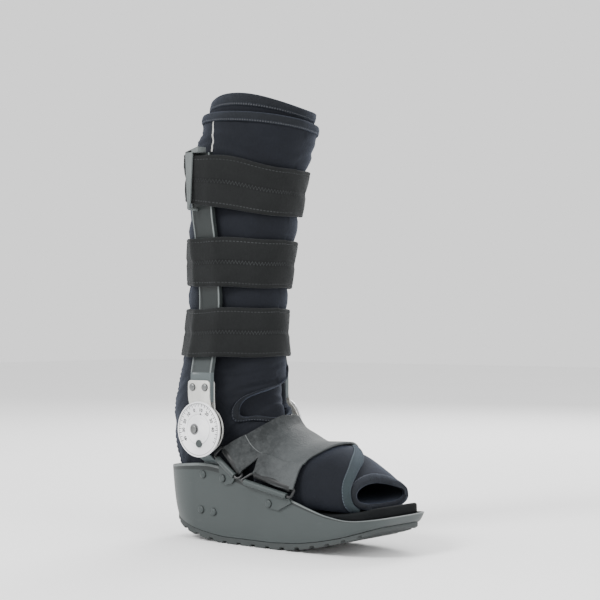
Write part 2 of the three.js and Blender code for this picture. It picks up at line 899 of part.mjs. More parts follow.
function cleftCorner(across) {
  const place = footStrapPoint(1.12, across, 0);
  return [place.position, THREE.MathUtils.degToRad(place.turn)];
}

// Hinges and uprights

// Upright: up is a share of the way from the hinge's axis to the upright's top, and outer is the
// distance of its outer face from the centre plane, as a share of half the ankle width.
const uprightRows = table(["up", "outer", "recess"], [
  [0.098, 1.2, 0],
  [0.194, 1.2, 0],
  [0.204, 1.195, 1],
  [0.25, 1.145, 1],
  [0.335, 1.03, 1],
  [0.463, 0.95, 1],
  [0.576, 0.995, 1],
  [0.703, 1.09, 1],
  [0.774, 1.16, 1],
  [0.873, 1.21, 1],
  [1.0, 1.245, 1],
]);

function uprightOuter(z) {
  const up = (z - hingeHeight) / (uprightTop - hingeHeight);
  return (readTable(uprightRows, "up", up).outer * ankleWidth) / 2;
}

const uprightMiddle = hingeFromHeel - uprightSetForward;

function uprightSolid() {
  const half = uprightWidth / 2;
  const inEdge = half - uprightEdgeWidth;
  const rings = uprightRows.map((row) => {
    const outer = (row.outer * ankleWidth) / 2;
    const face = outer - uprightEdgeHeight * row.recess;
    const inner = outer - uprightThickness;
    const outline = [
      [-half, inner],
      [half, inner],
      [half, outer],
      [inEdge, outer],
      [inEdge - 0.5, face - 0.01],
      [-inEdge + 0.5, face - 0.01],
      [-inEdge, outer],
      [-half, outer],
    ];
    const z = THREE.MathUtils.lerp(hingeHeight, uprightTop, row.up);
    return outline.map(([x, y]) => new THREE.Vector3(uprightMiddle + x, -y, z));
  });
  return solidOf(ringSurface(rings, false));
}

// Keeper at the upright's head: a bar behind and outside the top strap, joined to the upright
// above and below the strap. Each x is a distance from the upright's rear edge.
function keeperSolid() {
  const rear = uprightMiddle - uprightWidth / 2;
  const low = uprightTop - keeperHeight;
  const outside = uprightOuter(uprightTop) + legStrapThickness + keeperClearance + keeperThickness;
  const plate = (corners, innerY, outerY) => {
    const points = corners.map(([x, z]) => new THREE.Vector2(rear + x, z));
    return solidOf(sidePlate(new THREE.Shape(points), innerY, outerY - innerY));
  };
  const top = uprightTop + keeperLip;
  const bar = plate(
    [[5, low], [7, low - 2], [9, low + 8], [12, uprightTop], [12, top], [2, top - 2]],
    outside - keeperThickness,
    outside,
  );
  const lip = plate(
    [[2, uprightTop], [lipReach, uprightTop], [lipReach, top + 3], [2, top - 2]],
    uprightOuter(uprightTop) - uprightThickness + 1,
    outside,
  );
  const foot = plate(
    [[5, low], [7, low - 2], [9, low], [5, low + 2]],
    uprightOuter(low) - uprightThickness + 1,
    outside,
  );
  return bar.add(lip).add(foot);
}

// Distances of the hinge's layers from the centre plane, worked inwards from the dial.
const dialInner = hingeOuterFace - dialThickness;
const outerPlateInner = dialInner - gap - hingePlateThickness;
const footPlateInner = outerPlateInner - gap - footPlateThickness;
const innerPlateOuter = uprightOuter(hingePlateTop) - uprightThickness - gap;
const innerPlateInner = innerPlateOuter - hingePlateThickness;

// Hinge plate: an arm with rounded upper corners that widens into a disc.
function hingePlateSolid(innerY, discRadius) {
  const half = hingePlateWidth / 2;
  const arm = new THREE.Shape();
  const top = hingePlateTop;
  const rear = hingeFromHeel - half - hingeArmLean;
  const front = hingeFromHeel + half - hingeArmLean;
  arm.moveTo(rear + 2 * hingeArmLean, hingeHeight);
  arm.lineTo(front + hingeArmLean, hingeHeight);
  arm.lineTo(front, top - hingePlateCorner);
  arm.quadraticCurveTo(front, top, front - hingePlateCorner, top);
  arm.lineTo(rear + hingePlateCorner, top);
  arm.quadraticCurveTo(rear, top, rear, top - hingePlateCorner);
  const disc = sideBar(hingeFromHeel, hingeHeight, discRadius, innerY, hingePlateThickness, discSides);
  return solidOf(sidePlate(arm, innerY, hingePlateThickness)).add(solidOf(disc));
}

function dialSolid() {
  const disc = sideBar(hingeFromHeel, hingeHeight, dialRadius, dialInner, dialThickness, discSides);
  const eyeReach = dialThickness + eyeHeight;
  const eye = sideBar(hingeFromHeel, hingeHeight, eyeRadius, dialInner, eyeReach, discSides);
  return solidOf(disc).add(solidOf(eye));
}

// Foot plate: from its disc at the hinge it bends in and runs down inside the shell's wall.
// up is a share of the hinge's height, rear and front are distances from the hinge's axis.
const footPlateRows = table(["up", "rear", "front", "bend"], [
  [0.2, -23, 11, 0],
  [0.5, -20, 11, 0],
  [0.66, -15, 9, 0],
  [0.705, -12, 7, 0],
  [0.795, -12, 7, 1],
  [1.0, -12, 7, 1],
]);

function shellInside(x, z) {
  return sideHalf(x) - wallInset(downAt(x, z)) - shellWall;
}

// margin grows it all round, for the room that the footbed leaves.
function footPlateSolid(margin) {
  const straight = footPlateInner + footPlateThickness;
  const rings = footPlateRows.map((row, i) => {
    const z = row.up * hingeHeight - (i === 0 ? margin : 0);
    const corners = [row.rear - margin, row.front + margin].map((x) => {
      const at = hingeFromHeel + x;
      const low = shellInside(at, z) - gap;
      return { x: at, y: THREE.MathUtils.lerp(low, straight, row.bend) + margin };
    });
    const thick = footPlateThickness + 2 * margin;
    const inner = [...corners].reverse().map((p) => ({ x: p.x, y: p.y - thick }));
    return [...corners, ...inner].map((p) => new THREE.Vector3(p.x, -p.y, z));
  });
  const disc = sideBar(
    hingeFromHeel, hingeHeight, footPlateDisc, footPlateInner, footPlateThickness, discSides);
  return solidOf(ringSurface(rings, false)).add(solidOf(disc));
}

// Rivet with a domed head, made along -Y with its head's base at the origin.
function rivetSolid(x, y, z, lean, shankLength) {
  const profile = [
    new THREE.Vector2(0, -shankLength),
    new THREE.Vector2(rivetShankRadius, -shankLength),
    new THREE.Vector2(rivetShankRadius, 0),
    new THREE.Vector2(rivetHeadRadius, 0),
    new THREE.Vector2(rivetHeadRadius, rivetHeadHeight * 0.35),
    new THREE.Vector2(rivetHeadRadius * 0.7, rivetHeadHeight * 0.85),
    new THREE.Vector2(0, rivetHeadHeight),
  ];
  const geometry = new THREE.LatheGeometry(profile, rivetSides);
  geometry.rotateX(Math.PI + lean);
  geometry.translate(x, y, z);
  return solidOf(geometry);
}

function rivetHole(x, y, z, lean, length) {
  const radius = rivetShankRadius + gap;
  const geometry = new THREE.CylinderGeometry(radius, radius, 2 * length, rivetSides);
  geometry.rotateX(lean);
  geometry.translate(x, y, z);
  return solidOf(geometry);
}

// Rivets of one side of the shell. The first three hold the foot plate inside the wall: ahead is
// a distance from the hinge's axis and up a share of its height. The others hold a strap anchor
// outside: along is a share of the shell's length and up a share of its rim height.
const shellRivets = [
  ...table(["name", "ahead", "up"], [
    ["foot_plate_upper", -11, 0.593],
    ["foot_plate_rear", -16, 0.28],
    ["foot_plate_front", 2, 0.271],
  ]).map(({ name, ahead, up }) => {
    return { name, x: hingeFromHeel + ahead, z: up * hingeHeight, inside: footPlateThickness };
  }),
  ...table(["name", "along", "up", "anchor"], [
    ["anchor_rear", 0.35, 0.829, "rear"],
    ["anchor_front", 0.565, 0.573, "front"],
  ]).map(({ name, along, up, anchor }) => {
    return { name, x: along * shellLength, z: up * rimHeight, inside: 0, anchor };
  }),
];

function wallLean(x, z) {
  return Math.atan2(wallOutside(x, z + 3) - wallOutside(x, z - 3), 6);
}

// Strap anchor: a plate outside the shell's wall with its upper edge rolled round a loop's bar.
// The outline's points are shares of the way along the rolled edge and distances below it.
const anchorOutlines = {
  rear: [[0, 0], [1, 0], [0.75, 12], [0.3, 22], [-0.02, 14]],
  front: [[0, 0], [1, 0], [1.05, 6], [0.74, 18], [0.45, 19], [0.02, 8]],
};

function anchorPlane(loop) {
  const points = loop.anchor.concat([[anchorMiddle(loop).x, anchorMiddle(loop).z - 16]]);
  const [p, q, r] = points.map(([x, z]) => new THREE.Vector3(x, -wallOutside(x, z), z));
  const normal = q.clone().sub(p).cross(r.clone().sub(p));
  return (x, z) => p.y - (normal.x * (x - p.x) + normal.z * (z - p.z)) / normal.y;
}

function anchorMiddle(loop) {
  const [[ax, az], [bx, bz]] = loop.anchor;
  return { x: (ax + bx) / 2, z: (az + bz) / 2 };
}

function anchorSolid(loop) {
  const [a, b] = anchorBar(loop);
  const plane = anchorPlane(loop);
  const outline = anchorOutlines[loop.name].map(([share, below]) => {
    const x = THREE.MathUtils.lerp(a.x, b.x, share);
    return { x, z: THREE.MathUtils.lerp(a.z, b.z, share) - below };
  });
  const ring = (out) => {
    return outline.map((p) => new THREE.Vector3(p.x, plane(p.x, p.z) - anchorClearance - out, p.z));
  };
  const plate = solidOf(ringSurface([ring(0), ring(anchorThickness)], false));
  const roll = barBetween(a, b, rollRadius, -1);
  const bore = barBetween(a, b, wireRadius + gap, 8);
  return plate.add(roll).subtract(bore);
}

// Leg straps: up is the height of the strap's middle as a share of the uprights' top, and tilt
// is its fall to the front in degrees.
const legStraps = table(["name", "up", "tilt"], [
  ["strap_top", 0.93, 10.5],
  ["strap_middle", 0.721, 2],
  ["strap_lower", 0.54, 0],
]);

// Closed band drawn taut round the liner and both uprights: a convex outline at each level.
function legStrapSolid(strap) {
  const slope = Math.tan(THREE.MathUtils.degToRad(strap.tilt));
  const levels = [-0.5, -0.17, 0.17, 0.5].map((share) => share * legStrapWidth);
  const outlines = levels.map((level) => {
    const planeZ = (x) => strap.up * uprightTop + level - slope * (x - hingeFromHeel);
    const half = uprightWidth / 2;
    const corners = [[half, 1], [-half, 1], [-half, -1], [half, -1]].map(([ahead, side]) => {
      const x = uprightMiddle + ahead;
      return new THREE.Vector2(x, side * uprightOuter(planeZ(x)));
    });
    const hull = convexHull([...linerSection(planeZ), ...corners]);
    return { planeZ, ring: evenOutline(hull, corners) };
  });
  const ringAt = ({ planeZ, ring }, outset) => {
    return ring.map((p, i) => {
      const before = ring[(i + ring.length - 1) % ring.length];
      const after = ring[(i + 1) % ring.length];
      const along = after.clone().sub(before).normalize();
      const x = p.x + along.y * outset;
      return new THREE.Vector3(x, p.y - along.x * outset, planeZ(x));
    });
  };
  const inner = outlines.map((outline) => ringAt(outline, legStrapClearance));
  const outer = outlines.map((outline) => {
    return ringAt(outline, legStrapClearance + legStrapThickness);
  });
  return solidOf(ringSurface([...outer, ...inner.reverse()], true));
}

// Points at which the liner's outer face meets a tilted plane.
function linerSection(planeZ) {
  const points = [];
  for (let k = 0; k < linerSides * 2; k++) {
    const turn = (k / (linerSides * 2)) * 2 * Math.PI;
    let low = 9;
    let high = lastRow;
    for (let i = 0; i < 20; i++) {
      const middle = (low + high) / 2;
      const p = linerPoint(middle, turn);
      if (p.z < planeZ(p.x)) low = middle;
      else high = middle;
    }
    const p = linerPoint(low, turn);
    points.push(new THREE.Vector2(p.x, p.y));
  }
  return points;
}

function convexHull(points) {
  const sorted = [...points].sort((p, q) => p.x - q.x || p.y - q.y);
  const chain = (list) => {
    const out = [];
    for (const p of list) {
      while (out.length > 1 && turning(out[out.length - 2], out[out.length - 1], p) <= 0) out.pop();
      out.push(p);
    }
    return out.slice(0, -1);
  };
  return [...chain(sorted), ...chain(sorted.reverse())];
}

function turning(a, b, c) {
  return (b.x - a.x) * (c.y - a.y) - (b.y - a.y) * (c.x - a.x);
}

// Outline with a point at each corner, counted round from the left front, and a fixed number of
// points between the corners: few along the uprights and more round the front and the back.
function evenOutline(hull, corners) {
  const middle = corners.reduce((sum, p) => sum.add(p), new THREE.Vector2()).divideScalar(4);
  const angles = corners.map((corner) => corner.clone().sub(middle).angle());
  return angles.flatMap((start, i) => {
    const end = angles[(i + 1) % 4];
    const span = (end - start + 2 * Math.PI) % (2 * Math.PI);
    const steps = i % 2 === 0 ? strapStepsAlongUpright : strapStepsRound;
    return Array.from({ length: steps }, (_, k) => {
      return crossing(hull, middle, start + (span * k) / steps);
    });
  });
}

// Point at which a ray from the middle leaves the hull.
function crossing(hull, middle, turn) {
  const ray = new THREE.Vector2(Math.cos(turn), Math.sin(turn));
  for (let i = 0; i < hull.length; i++) {
    const a = hull[i].clone().sub(middle);
    const b = hull[(i + 1) % hull.length].clone().sub(middle);
    const fromA = ray.cross(a);
    const fromB = ray.cross(b);
    if (fromA <= 0 && fromB > 0) return a.lerp(b, fromA / (fromA - fromB)).add(middle);
  }
  throw new Error("the outline doesn't surround its middle");
}

// Assembly

function addPair(name, solid, material) {
  addPiece(name + "_right", geometryOf(solid), material);
  addPiece(name + "_left", geometryOf(solid.mirror([0, 1, 0])), material);
}

let shell = shellSolid();
let footPlate = footPlateSolid(0);
const anchors = new Map(loops.map((loop) => [loop.name, anchorSolid(loop)]));

for (const rivet of shellRivets) {
  const lean = wallLean(rivet.x, rivet.z);
  const cover = rivet.anchor ? anchorClearance + anchorThickness : 0;
  const y = -wallOutside(rivet.x, rivet.z) - cover - gap;
  const length = cover + gap + shellWall + (rivet.inside ? gap + rivet.inside : 0) - gap / 2;
  const hole = rivetHole(rivet.x, y, rivet.z, lean, length + 4);
  shell = shell.subtract(hole).subtract(hole.mirror([0, 1, 0]));
  if (rivet.inside) footPlate = footPlate.subtract(hole);
  if (rivet.anchor) anchors.set(rivet.anchor, anchors.get(rivet.anchor).subtract(hole));
  addPair("rivet_" + rivet.name, rivetSolid(rivet.x, y, rivet.z, lean, length), materials.shell);
}

const footPlateRoom = footPlateSolid(2 * gap);
const footbed = footbedSolid().subtract(footPlateRoom).subtract(footPlateRoom.mirror([0, 1, 0]));

addPiece("shell", geometryOf(shell), materials.shell);
addPiece("outsole", geometryOf(outsoleSolid()), materials.outsole);
addPiece("footbed", geometryOf(footbed), materials.foam);

const outerLayer = solidOf(linerTube(0, outerTopRow, 0, -outerWall)).subtract(notchPlug());
addPiece("liner_outer", geometryOf(mainBody(outerLayer)), materials.liner);
addPiece(
  "liner_inner",
  linerTube(innerStartRow, lastRow, -outerWall - innerClearance, -outerWall - innerClearance - innerWall),
  materials.liner,
);
addPiece("liner_flap", geometryOf(flapSolid()), materials.liner);
addPiece("binding_flap", geometryOf(flapBindingSolid()), materials.tape);
addPiece("binding_notch", geometryOf(notchBindingSolid()), materials.tape);
addPiece("binding_top", geometryOf(topBindingSolid()), materials.tape);
addPiece("binding_collar", geometryOf(collarBindingSolid()), materials.tape);

const pivotX = hingeFromHeel + pivotOffset;
const pivotHole = solidOf(sideBar(pivotX, hingeHeight, pivotRadius + gap, 20, 80));
const stopX = hingeFromHeel + stopAhead;
const stopZ = hingeHeight - stopBelow;
const stopHole = solidOf(sideBar(stopX, stopZ, stopButtonRadius + gap, outerPlateInner, 40));
const hingeRivetZ = hingePlateTop - hingeRivetDrop;
let upright = uprightSolid().add(keeperSolid());
let outerPlate = hingePlateSolid(outerPlateInner, outerDiscRadius).subtract(pivotHole);
let innerPlate = hingePlateSolid(innerPlateInner, innerDiscRadius).subtract(pivotHole);
for (const side of [-1, 1]) {
  const x = hingeFromHeel - 1.5 + (side * hingeRivetSpacing) / 2;
  const hole = solidOf(sideBar(x, hingeRivetZ, rivetShankRadius + gap, innerPlateInner - 5, 40));
  upright = upright.subtract(hole);
  outerPlate = outerPlate.subtract(hole);
  innerPlate = innerPlate.subtract(hole);
  const y = -outerPlateInner - hingePlateThickness - gap;
  const length = outerPlateInner + hingePlateThickness + gap - innerPlateInner - gap / 2;
  const name = side < 0 ? "rivet_hinge_rear" : "rivet_hinge_front";
  addPair(name, rivetSolid(x, y, hingeRivetZ, 0, length), materials.plate);
}

addPair("upright", upright, materials.upright);
addPair("hinge_plate_outer", outerPlate.subtract(stopHole), materials.plate);
addPair("hinge_plate_inner", innerPlate, materials.plate);
addPair("hinge_foot_plate", footPlate.subtract(pivotHole), materials.upright);
addPair("hinge_dial", dialSolid().subtract(pivotHole).subtract(stopHole), materials.dial);
addPair("hinge_pivot", pivotSolid(), materials.plate);
addPair("hinge_stop", stopSolid(), materials.shell);

// Pivot: a pin through the hinge's layers with a low round head on the dial.
function pivotSolid() {
  const headBase = hingeOuterFace + eyeHeight + gap;
  const pinLength = headBase + gap / 4 - innerPlateInner;
  const pin = sideBar(pivotX, hingeHeight, pivotRadius, innerPlateInner, pinLength);
  const head = sideBar(pivotX, hingeHeight, pivotHeadRadius, headBase, pivotHeadHeight, sides);
  return solidOf(pin).add(solidOf(head));
}

// Stop button: a plain round stud in the dial and the outer plate.
function stopSolid() {
  const reach = hingeOuterFace + eyeHeight + stopButtonHeight - outerPlateInner - gap;
  return solidOf(sideBar(stopX, stopZ, stopButtonRadius, outerPlateInner + gap, reach, sides));
}

for (const loop of loops) {
  addPair("strap_anchor_" + loop.name, anchors.get(loop.name), materials.shell);
  addPair("wire_loop_" + loop.name, wireLoopSolid(loop), materials.wire);
}
addPiece("foot_strap", geometryOf(footStrapSolid()), materials.footStrap);
for (const strap of legStraps) {
  addPiece(strap.name, geometryOf(legStrapSolid(strap)), materials.legStrap);
}

export default boot;
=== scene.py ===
import math
import bmesh
import bpy
import numpy as np
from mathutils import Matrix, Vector


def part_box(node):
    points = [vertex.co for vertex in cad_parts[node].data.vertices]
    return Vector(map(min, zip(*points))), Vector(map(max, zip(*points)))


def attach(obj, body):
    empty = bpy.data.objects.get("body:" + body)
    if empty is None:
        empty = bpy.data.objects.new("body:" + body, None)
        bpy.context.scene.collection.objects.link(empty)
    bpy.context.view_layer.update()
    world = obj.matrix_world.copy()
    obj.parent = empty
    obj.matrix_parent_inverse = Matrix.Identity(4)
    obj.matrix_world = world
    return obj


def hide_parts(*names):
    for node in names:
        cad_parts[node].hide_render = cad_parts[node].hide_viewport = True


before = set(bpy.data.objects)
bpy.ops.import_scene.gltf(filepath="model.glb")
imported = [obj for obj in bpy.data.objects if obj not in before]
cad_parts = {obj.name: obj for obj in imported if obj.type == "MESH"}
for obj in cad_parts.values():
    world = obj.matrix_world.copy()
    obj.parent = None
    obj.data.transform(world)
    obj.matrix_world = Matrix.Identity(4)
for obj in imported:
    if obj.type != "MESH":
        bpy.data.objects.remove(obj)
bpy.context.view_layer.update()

# Studio
# A plain pale floor that runs out of sight, a wide soft key from the upper left, a fill from
# the right and a high back light, with the camera where the photograph was taken from.
def add(name, data):
    """A new object in the scene, at the origin."""
    item = bpy.data.objects.new(name, data)
    bpy.context.scene.collection.objects.link(item)
    return item


def aimed(item, place, target):
    """The object moved to its place, with its front turned to the target."""
    item.location = place
    item.rotation_euler = (
        (Vector(target) - item.location).to_track_quat("-Z", "Y").to_euler())
    return item


floor_mesh = bpy.data.meshes.new("floor")
floor_mesh.from_pydata([(-6, -6, 0), (6, -6, 0), (6, 6, 0), (-6, 6, 0)], [], [(0, 1, 2, 3)])
add("floor", floor_mesh)

world = bpy.data.worlds.new("studio")
world.use_nodes = True
world.node_tree.nodes["Background"].inputs["Color"].default_value = (1.0, 1.0, 1.0, 1)
world.node_tree.nodes["Background"].inputs["Strength"].default_value = 1.3
bpy.context.scene.world = world

for name, place, target, size, power in (
        ("key", (-0.5, -1.9, 1.7), (0, 0, 0.2), 0.8, 62),
        ("fill", (2.0, -0.4, 0.9), (0, 0, 0.2), 1.4, 30),
        ("back", (-0.6, 1.8, 1.5), (0, 0, 0.3), 1.2, 42)):
    lamp = bpy.data.lights.new(name, "AREA")
    lamp.shape, lamp.size, lamp.energy = "DISK", size, power
    aimed(add(name, lamp), place, target)

lens = bpy.data.cameras.new("camera")
lens.lens, lens.sensor_width = 92.63, 36
camera = aimed(add("camera", lens), (1.0, -1.2424, 0.2258), (0.016, 0, 0.2504))
bpy.context.scene.camera = camera


def arithmetic(operation, swapped=False):
    """A method that adds one Math node, with its terms swapped for a reflected form."""
    def method(self, other):
        return self.math(operation, *((other, self) if swapped else (self, other)))
    return method


def feed(place, value):
    """Links a field to a socket, or sets the socket to a number, a vector or a colour."""
    if isinstance(value, Field):
        value.tree.links.new(value.socket, place)
    elif place.type == "RGBA" and len(value) == 3:
        place.default_value = (*value, 1)
    else:
        place.default_value = value


class Field:
    """A value over a surface. Arithmetic on it adds Math nodes to its node tree."""

    __add__, __radd__ = arithmetic("ADD"), arithmetic("ADD", True)
    __sub__, __rsub__ = arithmetic("SUBTRACT"), arithmetic("SUBTRACT", True)
    __mul__, __rmul__ = arithmetic("MULTIPLY"), arithmetic("MULTIPLY", True)
    __truediv__, __pow__ = arithmetic("DIVIDE"), arithmetic("POWER")
    __lt__, __gt__ = arithmetic("LESS_THAN"), arithmetic("GREATER_THAN")

    def __init__(self, tree, socket):
        self.tree = tree
        self.socket = socket

    def math(self, operation, *terms):
        node = self.tree.nodes.new("ShaderNodeMath")
        node.operation = operation
        for place, term in zip(node.inputs, terms):
            feed(place, term)
        return Field(self.tree, node.outputs[0])

    def __abs__(self):
        return self.math("ABSOLUTE", self)

    def fraction(self):
        return self.math("FRACT", self)

    def sine(self):
        return self.math("SINE", self)

    def held(self):
        """The value kept between 0 and 1."""
        out = self.math("ADD", self, 0)
        out.socket.node.use_clamp = True
        return out


class Finish:
    """A material with one main shader, whose nodes are added by name."""

    def __init__(self, name, colour, roughness, metallic=0.0, **constants):
        self.material = bpy.data.materials.new(name)
        self.material.use_nodes = True
        self.tree = self.material.node_tree
        self.shader = self.tree.nodes["Principled BSDF"]
        constants.update(Base_Color=colour, Roughness=roughness, Metallic=metallic)
        for socket, value in constants.items():
            feed(self.shader.inputs[socket.replace("_", " ")], value)
        self.here = self.node("ShaderNodeTexCoord", out="Object")
        self.rough = self.rise = None

    def node(self, kind, settings=None, inputs=None, out=0):
        """A node of that kind: settings first, then its sockets' values or links."""
        node = self.tree.nodes.new(kind)
        for key, value in (settings or {}).items():
            setattr(node, key, value)
        for key, value in (inputs or {}).items():
            feed(node.inputs[key], value)
        return Field(self.tree, node.outputs[out])

    def noise(self, scale, detail=3.0, roughness=0.55, at=None, stretch=None):
        at = at or self.here
        if stretch:
            at = self.node("ShaderNodeMapping", {}, {"Vector": at, "Scale": stretch})
        inputs = {"Vector": at, "Scale": scale, "Detail": detail, "Roughness": roughness}
        return self.node("ShaderNodeTexNoise", {}, inputs)

    def cells(self, scale):
        return self.node("ShaderNodeTexVoronoi", {}, {"Vector": self.here, "Scale": scale})

    def ramp(self, value, low, high):
        """The value spread so that low gives 0 and high gives 1."""
        inputs = {"Value": value, "From Min": low, "From Max": high}
        return self.node("ShaderNodeMapRange", {"clamp": True}, inputs)

    def blend(self, factor, low, high):
        """Mix of two colours, each a field or a triple."""
        inputs = {"Factor": factor, 6: low, 7: high}
        return self.node("ShaderNodeMix", {"data_type": "RGBA"}, inputs, out=2)

    def parts(self, vector=None):
        """The three parts of a vector, which is the place on the object unless one is given."""
        split = self.node("ShaderNodeSeparateXYZ", {}, {"Vector": vector or self.here})
        return [Field(self.tree, output) for output in split.socket.node.outputs]

    def cloth_place(self):
        """Distances along and across the cloth, in millimetres, from its own map."""
        along, across, _ = self.parts(self.node("ShaderNodeUVMap", {"uv_map": "cloth"}))
        return along * 1000, across * 1000

    def lay(self, factor, colour):
        """Covers the colour so far with another, where the factor is above 0."""
        self.shade = self.blend(factor, self.shade, colour)

    def paint(self, depth=0.0005, **fields):
        """Links what changes over the surface: shade, rough and rise, in units of depth (m)."""
        vars(self).update(fields)
        feed(self.shader.inputs["Base Color"], self.shade)
        if self.rough:
            feed(self.shader.inputs["Roughness"], self.rough)
        if self.rise:
            inputs = {"Height": self.rise, "Distance": depth, "Strength": 1.0}
            feed(self.shader.inputs["Normal"], self.node("ShaderNodeBump", {}, inputs))
        return self


backdrop = Finish("pale_floor", (0.9, 0.9, 0.9), 0.9)
backdrop.paint(
    shade=backdrop.blend(backdrop.noise(2.0), (0.9, 0.9, 0.9), (0.93, 0.93, 0.93)))
floor_mesh.materials.append(backdrop.material)

# Shell
# The rocker shell is one moulding in grey plastic with a satin grain and an open top, deepest
# at the ankle and low at the toe. Its rim is rounded and its walls lean in towards the sole.
GAP = 0.4
LENGTH, FOREFOOT, HEEL_WIDTH = 294.0, 112.0, 96.0
HEEL_CURVE, TOE_CURVE, TOE_SQUARENESS = 60.0, 64.0, 3.9
SHELL_WALL, SHELL_FLOOR, WALL_DRAFT, RIM_ROLL = 3.0, 4.0, 6.0, 1.5
RIM_HEIGHT, TOE_RISE, HEEL_RISE, SOLE_THICKNESS = 82.0, 26.0, 26.0, 7.0
RIM = np.array([
    (0.0, 0.915), (0.07, 0.935), (0.17, 0.98), (0.26, 1.0), (0.33, 0.975), (0.425, 0.85),
    (0.5, 0.78), (0.6, 0.705), (0.67, 0.63), (0.74, 0.555), (0.82, 0.485), (0.9, 0.455),
    (1.0, 0.485)])
HEEL_ROCKER = np.array([
    (0.0, 1.0), (0.04, 0.75), (0.1, 0.48), (0.18, 0.24), (0.26, 0.08), (0.33, 0.0)])
TOE_ROCKER = np.array([
    (0.56, 0.0), (0.65, 0.08), (0.74, 0.24), (0.83, 0.46), (0.92, 0.74), (1.0, 1.0)])
WALL = np.array([(0, 0), (0.4, 0.26), (0.7, 0.52), (0.88, 0.76), (1, 1)])


def through(table, at):
    """Smooth curve through a table of (key, value) rows: cubic pieces whose slope at each row is
    the harmonic mean of the slopes on its two sides, or level where the table turns."""
    keys, values = table[:, 0], table[:, 1]
    rise = np.diff(values) / np.diff(keys)
    slope = np.zeros(len(keys))
    same = rise[:-1] * rise[1:] > 0
    slope[1:-1][same] = 2 * rise[:-1][same] * rise[1:][same] / (rise[:-1] + rise[1:])[same]
    slope[0], slope[-1] = rise[0], rise[-1]
    at = np.clip(at, keys[0], keys[-1])
    i = np.clip(np.searchsorted(keys, at) - 1, 0, len(keys) - 2)
    span = keys[i + 1] - keys[i]
    t = (at - keys[i]) / span
    return (
        values[i] * (1 + 2 * t) * (1 - t) ** 2
        + slope[i] * span * t * (1 - t) ** 2
        + values[i + 1] * t * t * (3 - 2 * t)
        + slope[i + 1] * span * t * t * (t - 1)
    )


def running(steps):
    """Distance along a line at the start of each step and at the end of the last."""
    return np.concatenate([[0], np.cumsum(steps)])


def rim_z(x):
    return RIM_HEIGHT * through(RIM, x / LENGTH)


def rocker_z(x):
    along = x / LENGTH
    return HEEL_RISE * through(HEEL_ROCKER, along) + TOE_RISE * through(TOE_ROCKER, along)


def outsole_top_z(x):
    """The outsole thins by 0.4 of its thickness from 0.6 of the boot's length to the toe."""
    return rocker_z(x) + SOLE_THICKNESS * (1 - 0.4 * np.clip(x / LENGTH / 0.4 - 1.5, 0, 1))


def underside_z(x):
    return outsole_top_z(x) + GAP


def floor_z(x):
    return underside_z(x) + SHELL_FLOOR


def wall_inset(down):
    return WALL_DRAFT * through(WALL, np.clip(down, 0, 1))


def side_half(x):
    share = np.clip((x - HEEL_CURVE) / (LENGTH - TOE_CURVE - HEEL_CURVE), 0, 1)
    return HEEL_WIDTH / 2 + (FOREFOOT - HEEL_WIDTH) / 2 * share


def plan(count):
    """Half of the rim's outline from heel to toe at an even spacing: an ellipse round the heel,
    straight sides and a squared toe. Gives the points and the directions straight inwards."""
    turn = np.linspace(0, math.pi / 2, 160)
    straight = np.linspace(HEEL_CURVE, LENGTH - TOE_CURVE, 60)[1:-1]
    power = 2 / TOE_SQUARENESS
    x = np.concatenate([
        HEEL_CURVE * (1 - np.cos(turn)), straight,
        LENGTH - TOE_CURVE + TOE_CURVE * np.sin(turn) ** power])
    y = np.concatenate([
        HEEL_WIDTH / 2 * np.sin(turn), side_half(straight),
        FOREFOOT / 2 * np.cos(turn) ** power])
    y[0] = y[-1] = 0
    run = running(np.hypot(np.diff(x), np.diff(y)))
    even = np.linspace(0, run[-1], count)
    x, y = np.interp(even, run, x), np.interp(even, run, y)
    ahead = np.stack([np.gradient(x), np.gradient(y)])
    ahead[:, 0], ahead[:, -1] = (0, 1), (0, -1)
    ahead /= np.hypot(*ahead)
    return x, y, ahead[1], -ahead[0]


def ribs(count, levels):
    """Closed surface over the plan outline. levels is a list of (inset, height) functions of x,
    in order from the inside middle round to the outside middle. Each rib runs across the boot
    from side to side, so heel and toe close where its two sides meet."""
    x, y, in_x, in_y = plan(count)
    right, left = [], []
    for inset, height, half in levels:
        shift = inset(x) + 0 * x
        across = np.maximum(y + in_y * shift, 0) * half
        spot = np.stack([x + in_x * shift, -across, height(x) + 0 * x], axis=-1)
        right.append(spot)
        left.append(spot * (1, -1, 1))
    return np.stack(right + left[::-1], axis=1)


def surface(points, wrap_rows=False, wrap_cols=False, along=None, across=None, keep=None):
    """Quads over a grid of points, with a map of distances along and across in metres."""
    rows, cols = points.shape[:2]
    i = np.arange(rows if wrap_rows else rows - 1)
    j = np.arange(cols if wrap_cols else cols - 1)
    i, j = (a.ravel() for a in np.meshgrid(i, j, indexing="ij"))
    if keep is not None:
        chosen = keep[i, j]
        i, j = i[chosen], j[chosen]
    corners = [(i, j), (i + 1, j), (i + 1, j + 1), (i, j + 1)]
    faces = np.stack([(a % rows) * cols + b % cols for a, b in corners], axis=1)
    if along is None:
        step = np.linalg.norm(np.diff(points, axis=0, append=points[:1]), axis=2).mean(axis=1)
        along = running(step)
    if across is None:
        step = np.linalg.norm(np.diff(points, axis=1, append=points[:, :1]), axis=2).mean(axis=0)
        across = running(step)
    uv = np.stack([np.stack([along[a], across[b]], axis=1) for a, b in corners], axis=1) / 1000
    return points.reshape(-1, 3), faces, uv


def placed(name, mesh, finish, nodes):
    """The mesh as a piece of the boot, in place of the plain nodes that it stands for."""
    mesh.materials.append(finish.material)
    piece = add(name, mesh)
    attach(piece, "root")
    if nodes:
        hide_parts(*nodes)
    return piece


